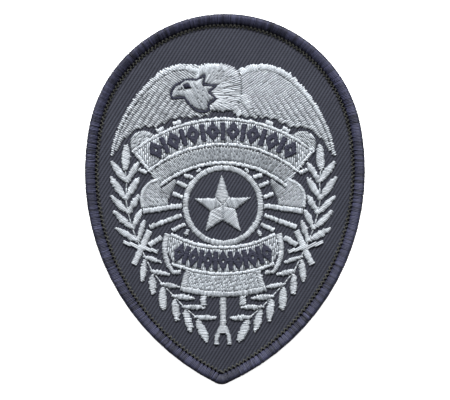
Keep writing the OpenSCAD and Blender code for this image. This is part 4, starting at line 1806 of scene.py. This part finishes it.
@dataclass
class Cloth:
    """The twill panel: slanted ribs on its face, a flat backing, and an edge pressed thin inside the border.

    Args:
        outline: the patch's edge.
        thick: the thickness of the twill with its backing.
        rib_high: how far a rib stands over the furrow beside it.
        reach: how far from the patch's edge the cloth ends, inside the border.
        press: the distance over which the border presses the face of the cloth down.
        tuck: the distance over which the underside rises to the border.
        edge_low: the height of the pressed edge's underside.
        edge_high: the height of the pressed edge's upper side.
        shaded: how far from the patch's edge the painted shade under the chain ends: a dark channel that
            stands in for the shadow between the chain's legs.
        fade: the distance over which that painted shade fades out.
    """

    outline: Outline
    thick: float = 1.3
    rib_high: float = 0.11
    reach: float = 2.05
    press: float = 0.55
    tuck: float = 0.85
    edge_low: float = 0.45
    edge_high: float = 0.83
    shaded: float = 2.6
    fade: float = 0.1

    # Rows of points over one rib, and steps along the middle of a rib
    STEPS = 6
    LENGTHS = 20
    # Distances from both ends of a rib where it has a point, closer where the cloth is pressed
    ENDS = (0.0, 0.25, 0.5, 0.75, 1.0, 1.2, 1.4, 1.7, 2.1)
    # A pressed end takes at most one part in this many of a short rib
    END_SHARE = 3
    # How far the outermost rows stay inside the cloth
    MARGIN = 0.02
    # How many points on either side give the direction of the cloth's edge at a point
    NEARBY = 3

    def build(self) -> None:
        """Weaves the cloth and takes the place of its node."""
        top = self._top()
        index = np.arange(top.shape[0] * top.shape[1]).reshape(top.shape[:2])
        rim = np.concatenate([index[0], index[1:, -1], index[-1, ::-1][1:], index[::-1, 0][1:-1]])
        border = top.reshape(-1, 3)[rim, :2]
        low = np.column_stack([border, np.full(len(rim), self.edge_low)])
        foot = np.column_stack([border + self._inward(border) * self.tuck, np.zeros(len(rim))])
        points = np.concatenate([top.reshape(-1, 3), low, foot])
        corners = (index[:-1, :-1], index[:-1, 1:], index[1:, 1:], index[1:, :-1])
        face = np.stack([corner.ravel() for corner in corners], axis=1).tolist()
        back = self._back_faces(rim, index.size)
        mesh = bpy.data.meshes.new("cloth")
        mesh.from_pydata((points * MM).tolist(), [], face + back)
        cloth = Mesh.place("cloth", mesh, TWILL.material(), BACKING.material())
        on_back = np.arange(len(mesh.polygons)) >= len(face)
        mesh.polygons.foreach_set("material_index", on_back.astype(np.int32))
        mesh.polygons.foreach_set("use_smooth", ~on_back)
        # Painted shade: a dark channel under the border's chain, held in the mesh's attribute.
        shade = np.clip((self.shaded - self.outline.depth(points[:, :2])) / self.fade, 0, 1)
        mesh.attributes.new("painted_chain_shade", "FLOAT", "POINT").data.foreach_set("value", shade)
        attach(cloth, BODY)
        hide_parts("twill_base")
        after = np.roll(border, -1, axis=0)
        area = abs((border[:, 0] * after[:, 1] - border[:, 1] * after[:, 0]).sum()) / 2 * MM * MM

    @staticmethod
    def _back_faces(rim: Array, first: int) -> list[list[int]]:
        """Gives the faces of the pressed edge and of the backing.

        Args:
            rim: the indices of the points round the cloth's face.
            first: the index of the first point under the rim. The backing's points follow those.

        Returns:
            The faces' corner indices.
        """
        lows = first + np.arange(len(rim))
        feet = lows + len(rim)
        edge = [np.roll(rim, -1), rim, lows, np.roll(lows, -1)]
        tuck = [np.roll(lows, -1), lows, feet, np.roll(feet, -1)]
        sides = np.stack([np.stack(edge, axis=1), np.stack(tuck, axis=1)], axis=1)
        return [*sides.reshape(-1, 4).tolist(), feet[::-1].tolist()]

    def _top(self) -> Array:
        """Shapes the face of the cloth.

        Returns:
            The points in rows along the ribs, rows by points by 3.
        """
        ahead, aside = heading(TWILL.angle), heading(TWILL.angle + 90)
        reach = self.outline.drawn_in(self.reach) @ aside
        step = TWILL.pitch / self.STEPS
        first = math.ceil((reach.min() + self.MARGIN) / step)
        last = math.floor((reach.max() - self.MARGIN) / step)
        places = np.arange(first, last + 1) * step
        rows = []
        for place in places:
            low, high = self.outline.chord(aside * place, ahead, self.reach)
            ends = np.array(self.ENDS) * min(1, (high - low) / (self.END_SHARE * self.ENDS[-1]))
            middle = np.linspace(low + ends[-1], high - ends[-1], self.LENGTHS)[1:-1]
            along = np.concatenate([low + ends, middle, high - ends[::-1]])
            rows.append(aside * place + along[:, None] * ahead)
        flat = np.array(rows)
        depth = self.outline.depth(flat.reshape(-1, 2)).reshape(flat.shape[:2])
        free = np.clip((depth - self.reach) / self.press, 0, 1)
        free = free * free * (3 - 2 * free)
        phase = (places / TWILL.pitch) % 1
        rib = np.sqrt(np.clip(1 - (2 * phase - 1) ** 2, 0, 1))[:, None]
        level = self.edge_high + (self.thick - self.edge_high) * free + self.rib_high * free * (rib - 0.5)
        return np.concatenate([flat, level[:, :, None]], axis=2)

    @classmethod
    def _inward(cls, loop: Array) -> Array:
        """Finds the inward direction at each point of a loop.

        Args:
            loop: the points, points by 2.

        Returns:
            A unit vector for each point.
        """
        inward = left_sides(np.roll(loop, -cls.NEARBY, axis=0) - np.roll(loop, cls.NEARBY, axis=0))
        flip = np.sign(((loop.mean(axis=0) - loop) * inward).sum(axis=1, keepdims=True))
        return inward * flip


@dataclass
class WoundBorder:
    """The wound edge: threads wrapped round a core, and the zigzag chain that locks their inner ends.

    Args:
        outline: the patch's edge.
        width: the width of a thread.
        slant: how far a thread moves along the edge from its underside to its inner end.
        roll: how far from the edge the border is highest.
        inner: how far from the edge the threads end.
        inner_high: how high they end there.
        chain_pitch: the length of one zigzag.
        chain_width: the width of the chain's thread.
        chain_inset: how far from the edge the chain's outer and inner corners are.
        chain_high: how high those corners are.
        chain_arch: how far the thread rises between them.
        shade_dot: the width of a dark dot between the chain's corners, painted shade for the shadowed hole
            there.
        shade_dot_inset: how far from the edge the dots are.
        shade_dot_high: how high the dots are.
        rim: how far from the edge the threads are darkened, as painted shade on the rolled edge's steep outer
            side.
        tip: how far on either side of the patch's tip the threads are darker.
    """

    outline: Outline
    width: float = 0.4
    slant: float = 0.25
    roll: float = 0.85
    inner: float = 2.5
    inner_high: float = 1.38
    chain_pitch: float = 1.08
    chain_width: float = 0.25
    chain_inset: Point = (2.5, 3.3)
    chain_high: Point = (1.56, 1.48)
    chain_arch: float = 0.1
    shade_dot: float = 0.72
    shade_dot_inset: float = 2.72
    shade_dot_high: float = 1.58
    rim: float = 0.6
    tip: float = 2.0

    SEED = 5
    CORNERS = 5
    # The angles of a thread's points round the rolled edge, from underneath to the crown
    ROLL_ANGLES = (265, 235, 205, 175, 150, 130, 110, 90)
    # The border's inner slope, from the crown to the cloth
    # [distance in from the edge, height]
    SLOPE = ((1.08, 2.56), (1.4, 2.47), (1.8, 2.29), (2.15, 2.06), (2.42, 1.8))

    THREADS_A_CHAIN = 3
    # How far on both sides of a thread the edge's direction is taken
    NEAR = 0.1
    # How far a thread's middle is inside the border's surface, against its width
    THREAD_SUNK = 0.28
    THREAD_THICK = 0.62
    # Where along a thread it gathers, how much of the way to the middle one it moves, and the width it loses
    GATHER_FROM = 0.7
    GATHER_PULL = 0.5
    GATHER_THIN = 0.15
    # How far the threads stray along the edge and in height, and the chain's corners along the edge
    THREAD_STRAY = 0.03
    CHAIN_STRAY = 0.02
    # Threads over which the brighter and darker stretches of the border are smoothed
    STRETCH = 9
    # The threads' mean tone, and how much the stretches and the single threads stray from it
    THREAD_TONE = 0.5
    STRETCH_SPREAD = 0.4
    THREAD_SPREAD = 0.28
    # The distance from the edge within which a thread is darkest, in the painted shade on the roll's outer
    # side
    SHADE_DARKEST = 0.1
    # What is taken off a thread's share of its tone near the tip, and the least share that stays
    TIP_OFF = 0.3
    TIP_LEAST = 0.25

    # Where the chain's thread starts and ends past its corners, as shares of a stitch, and its stations
    CHAIN_AT = np.linspace(-0.08, 1.08, 6)
    CHAIN_THICK = 0.8
    CHAIN_TONE = 0.5
    CHAIN_SPREAD = 0.25

    # The dark dots are painted shade, laid where the holes between the chain's corners are in shadow
    SHADE_DOT_CORNERS = 6
    SHADE_DOT_AT = np.linspace(-0.5, 0.5, 5)
    SHADE_DOT_THICK = 0.7
    # Over 1, so that a dot's ends are blunt
    SHADE_DOT_BLUNT = 1.06

    # How far inside the border's surface the core is
    CORE_SUNK = 0.22
    # The height at which the core's inner side turns down to the groove
    CORE_STEP = 1.35
    # The core's groove for the cloth's edge
    # [distance in from the edge, height]
    GROOVE = ((2.28, 1.19), (2.0, 0.88), (2.0, 0.4), (2.28, 0.33))

    def build(self) -> None:
        """Winds the border and takes the place of its node."""
        random = np.random.default_rng(self.SEED)
        chains = round(self.outline.length / self.chain_pitch)
        threads = Threads(self.CORNERS)
        self._wind(threads, chains, random)
        wound = threads.place("border_wound", EDGE)
        links = Threads(self.CORNERS)
        self._chain(links, chains, random)
        chain = links.place("border_chain", CHAIN)
        piece = Mesh.join("border_threads", wound, chain, self._shade_dots(chains), self._core())
        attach(piece, BODY)
        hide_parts("border")
        LOG.info("border: %d faces", len(piece.data.polygons))

    def _section(self, sunk: float) -> tuple[Array, Array]:
        """Gives the border's section, from under the patch round the edge to the inner end.

        Args:
            sunk: how far inside the border's surface it runs.

        Returns:
            The distance in from the edge and the height of each point.
        """
        radius = self.outline.thick / 2
        inset = [self.inner - sunk]
        level = [sunk]
        for angle in self.ROLL_ANGLES:
            inset.append(self.roll + (self.roll - sunk) * math.cos(math.radians(angle)))
            level.append(radius + (radius - sunk) * math.sin(math.radians(angle)))
        for away, height in self.SLOPE:
            inset.append(away)
            level.append(height - sunk)
        return np.array(inset), np.array(level)

    def _wind(self, threads: Threads, chains: int, random: Random) -> None:
        """Winds the threads, whose inner ends gather in the chain's corners.

        Args:
            threads: what the threads are added to.
            chains: the number of zigzags round the patch.
            random: draws the irregularities.
        """
        inset, level = self._section(self.width * self.THREAD_SUNK)
        inset = np.append(inset, self.inner)
        level = np.append(level, self.inner_high)
        count = chains * self.THREADS_A_CHAIN
        step = self.outline.length / count
        start = (np.arange(count) + 0.5) * step + random.normal(0, self.THREAD_STRAY, count)
        share = np.linspace(0, 1, len(inset))
        gather = np.clip((share - self.GATHER_FROM) / (1 - self.GATHER_FROM), 0, 1) ** 2
        place = (np.arange(count) + self.THREADS_A_CHAIN // 2) % self.THREADS_A_CHAIN
        pull = ((self.THREADS_A_CHAIN - 1) / 2 - place) * step * self.GATHER_PULL
        along = start[:, None] + self.slant * (share - 1) + pull[:, None] * gather
        flat = self.outline.point(along, np.broadcast_to(inset, along.shape))
        lift = random.normal(0, self.THREAD_STRAY, count)[:, None] * (level > self.outline.thick / 2)
        path = np.concatenate([flat, (level + lift)[:, :, None]], axis=2)
        half = np.full(path.shape[:2], self.width / 2) * (1 - self.GATHER_THIN * gather)
        # Painted shade: the threads darken towards the patch's edge, on the roll's steep outer side.
        tone = self._wound_tone(flat[:, 0], random)[:, None] * np.clip((inset - self.SHADE_DARKEST) / self.rim, 0, 1)
        edge = np.zeros(count)
        back = self.outline.point(start - self.NEAR, edge) - self.outline.point(start + self.NEAR, edge)
        side = np.column_stack([back, edge])
        side /= np.linalg.norm(side, axis=1, keepdims=True)
        threads.lay(path, side, half, self.THREAD_THICK, tone)

    def _wound_tone(self, feet: Array, random: Random) -> Array:
        """Gives the threads' tones, in brighter and darker stretches and darker near the patch's tip.

        Args:
            feet: where the threads start, threads by 2.
            random: draws the irregularities.

        Returns:
            The tone of each thread.
        """
        count = len(feet)
        stretches = np.convolve(random.normal(0, 1, count), np.ones(self.STRETCH) / self.STRETCH, mode="same")
        mean = self.THREAD_TONE + self.STRETCH_SPREAD * stretches
        tone = np.clip(mean + random.normal(0, self.THREAD_SPREAD, count), 0, 1)
        beside = np.abs(feet[:, 0]) / self.tip - self.TIP_OFF + (feet[:, 1] > 0)
        return tone * np.clip(beside, self.TIP_LEAST, 1)

    def _chain(self, threads: Threads, chains: int, random: Random) -> None:
        """Lays the zigzag chain, half over the wound threads and half over the cloth.

        Args:
            threads: what the chain is added to.
            chains: the number of zigzags round the patch.
            random: draws the irregularities.
        """
        half_step = self.outline.length / chains / 2
        corner = np.arange(chains * 2)
        at = self.CHAIN_AT
        rising = (corner % 2)[:, None]
        share = rising + (1 - 2 * rising) * at
        along = (corner[:, None] + at) * half_step + random.normal(0, self.CHAIN_STRAY, (len(corner), 1))
        inset = self.chain_inset[0] + (self.chain_inset[1] - self.chain_inset[0]) * share
        level = self.chain_high[0] + (self.chain_high[1] - self.chain_high[0]) * share
        level = level + self.chain_arch * np.sin(np.clip(at, 0, 1) * math.pi)
        path = np.concatenate([self.outline.point(along, inset), level[:, :, None]], axis=2)
        half = np.full(path.shape[:2], self.chain_width / 2)
        tone = np.clip(random.normal(self.CHAIN_TONE, self.CHAIN_SPREAD, len(corner)), 0, 1)
        threads.lay(path, level_sides(path[:, -1] - path[:, 0]), half, self.CHAIN_THICK, tone)

    def _shade_dots(self, chains: int) -> Thing:
        """Makes the dark dots that lie between the chain's outer corners, painted shade for the shadowed holes
        there.

        Args:
            chains: the number of zigzags round the patch.

        Returns:
            The dots.
        """
        at = self.SHADE_DOT_AT
        along = (np.arange(chains) * 2 + 1) * self.outline.length / chains / 2
        inset = np.broadcast_to(self.shade_dot_inset + at * self.shade_dot, (chains, len(at)))
        flat = self.outline.point(np.broadcast_to(along[:, None], inset.shape), inset)
        path = np.concatenate([flat, np.full((chains, len(at), 1), self.shade_dot_high)], axis=2)
        half = np.broadcast_to(self.shade_dot / 2 * np.sqrt(self.SHADE_DOT_BLUNT - (2 * at) ** 2), inset.shape)
        dots = Threads(self.SHADE_DOT_CORNERS)
        dots.lay(path, level_sides(path[:, -1] - path[:, 0]), half, self.SHADE_DOT_THICK, np.zeros(chains))
        return dots.place("border_shade_dots", CORE_AND_SHADE)

    def _core(self) -> Thing:
        """Makes the dark core under the threads, with a groove that holds the cloth's edge. Its near-black
        colour is painted shade where it shows between the threads.

        Returns:
            The core.
        """
        inset, level = self._section(self.CORE_SUNK)
        groove_inset, groove_level = np.array(self.GROOVE).T
        inset = np.concatenate([inset, groove_inset[:1], groove_inset])
        level = np.concatenate([level, [self.CORE_STEP], groove_level])
        around, rings = len(self.outline.ring), len(inset)
        along = np.broadcast_to(self.outline.at[:-1], (rings, around))
        flat = self.outline.point(along, np.broadcast_to(inset[:, None], along.shape))
        points = np.concatenate([flat, np.broadcast_to(level[:, None, None], (rings, around, 1))], axis=2)
        index = np.arange(rings * around).reshape(rings, around)
        after = np.roll(index, -1, axis=0)
        corners = (index, np.roll(index, -1, axis=1), np.roll(after, -1, axis=1), after)
        faces = np.stack(corners, axis=2).reshape(-1, 4).tolist()
        mesh = bpy.data.meshes.new("border_core_and_shade")
        mesh.from_pydata((points.reshape(-1, 3) * MM).tolist(), [], faces)
        mesh.uv_layers.new(name="thread")
        return Mesh.place("border_core_and_shade", mesh, CORE_AND_SHADE.material())


@dataclass(frozen=True)
class Lamp:
    """One soft rectangular lamp that faces the patch.

    Args:
        name: the lamp's name.
        place: where it hangs, in metres.
        size: its width and height, in metres.
        power: its power in watts.
    """

    name: str
    place: tuple[float, float, float]
    size: Point
    power: float

    def hang(self) -> None:
        """Adds the lamp to the scene."""
        data = bpy.data.lights.new(self.name, "AREA")
        data.shape = "RECTANGLE"
        data.size, data.size_y = self.size
        data.energy = self.power
        made = bpy.data.objects.new(self.name, data)
        made.location = self.place
        made.rotation_euler = (math.atan2(-self.place[1], self.place[2]), 0, 0)
        bpy.context.scene.collection.objects.link(made)


@dataclass
class Studio:
    """The floor, the lights and the camera.

    Args:
        view_width: the width of the photo's frame at the cloth.
        view_middle: the point of the patch in the middle of the frame.
        lens: the focal length.
        sensor: the sensor's width.
        cloth_height: the height of the cloth that the frame is measured at.
        floor_size: the floor's width.
        floor_level: the floor's height, just under the patch.
        glow: how much light comes from all round.
    """

    view_width: float = 107.82
    view_middle: Point = (0.02, -0.22)
    lens: float = 120.0
    sensor: float = 36.0
    cloth_height: float = 1.4
    floor_size: float = 3000.0
    floor_level: float = -0.2
    glow: float = 0.12

    KEY = Lamp("key", (0.0, 0.62, 0.44), (1.1, 0.2), 23.0)
    FILL = Lamp("fill", (0.0, -0.1, 0.9), (0.9, 0.9), 1.2)
    WHITE = (1.0, 1.0, 1.0)
    # The floor's two pale greys, its noise, and how dull and how bright it is
    FLOOR_TONES = ((0.93, 0.93, 0.93), (0.96, 0.96, 0.96))
    FLOOR_NOISE = Noise(60.0)
    FLOOR_ROUGHNESS = 0.9
    FLOOR_GLOW = 0.9

    def build(self) -> None:
        """Sets the studio up."""
        self._camera()
        self._floor()
        self.KEY.hang()
        self.FILL.hang()
        world = bpy.data.worlds.new("studio")
        bpy.context.scene.world = world
        world.use_nodes = True
        sky = world.node_tree.nodes["Background"].inputs
        sky["Color"].default_value = opaque(self.WHITE)
        sky["Strength"].default_value = self.glow
        bpy.context.scene.view_settings.view_transform = "Standard"

    def _camera(self) -> None:
        """Hangs the camera straight above the patch."""
        data = bpy.data.cameras.new("camera")
        data.lens = self.lens
        data.sensor_width = self.sensor
        made = bpy.data.objects.new("camera", data)
        away = self.view_width * self.lens / self.sensor + self.cloth_height
        made.location = (self.view_middle[0] * MM, self.view_middle[1] * MM, away * MM)
        bpy.context.scene.collection.objects.link(made)
        bpy.context.scene.camera = made

    def _floor(self) -> None:
        """Lays the pale floor under the patch."""
        bpy.ops.mesh.primitive_plane_add(size=self.floor_size * MM, location=(0, 0, self.floor_level * MM))
        floor = bpy.context.active_object
        floor.name = "floor"
        shader = Shader("floor_white")
        speck = shader.noise(shader.place(), self.FLOOR_NOISE)
        pale, paler = self.FLOOR_TONES
        finish = shader.finish(
            Base_Color=shader.mix(speck, opaque(pale), opaque(paler)),
            Roughness=self.FLOOR_ROUGHNESS,
            Emission_Color=opaque(self.WHITE),
            Emission_Strength=self.FLOOR_GLOW,
        )
        floor.data.materials.append(finish)
        floor.visible_glossy = False
        floor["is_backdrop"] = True


def write_sizes() -> None:
    """Measures the CAD box and the visual model's box into plain lists, which are not kept."""
    boxes = {"cad": CAD_BOX, "visual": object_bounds()}
    plain = {name: [list(corner) for corner in box] for name, box in boxes.items()}


def main() -> None:
    """Builds the patch, class by class."""
    logging.basicConfig(level=logging.INFO, format="%(name)s: %(message)s")
    Studio().build()
    outline = Outline()
    Cloth(outline).build()
    WoundBorder(outline).build()
    Eagle().build()
    Banners().build()
    Emblem().build()
    Wreath().build()
    write_sizes()


if __name__ == "__main__":
    main()
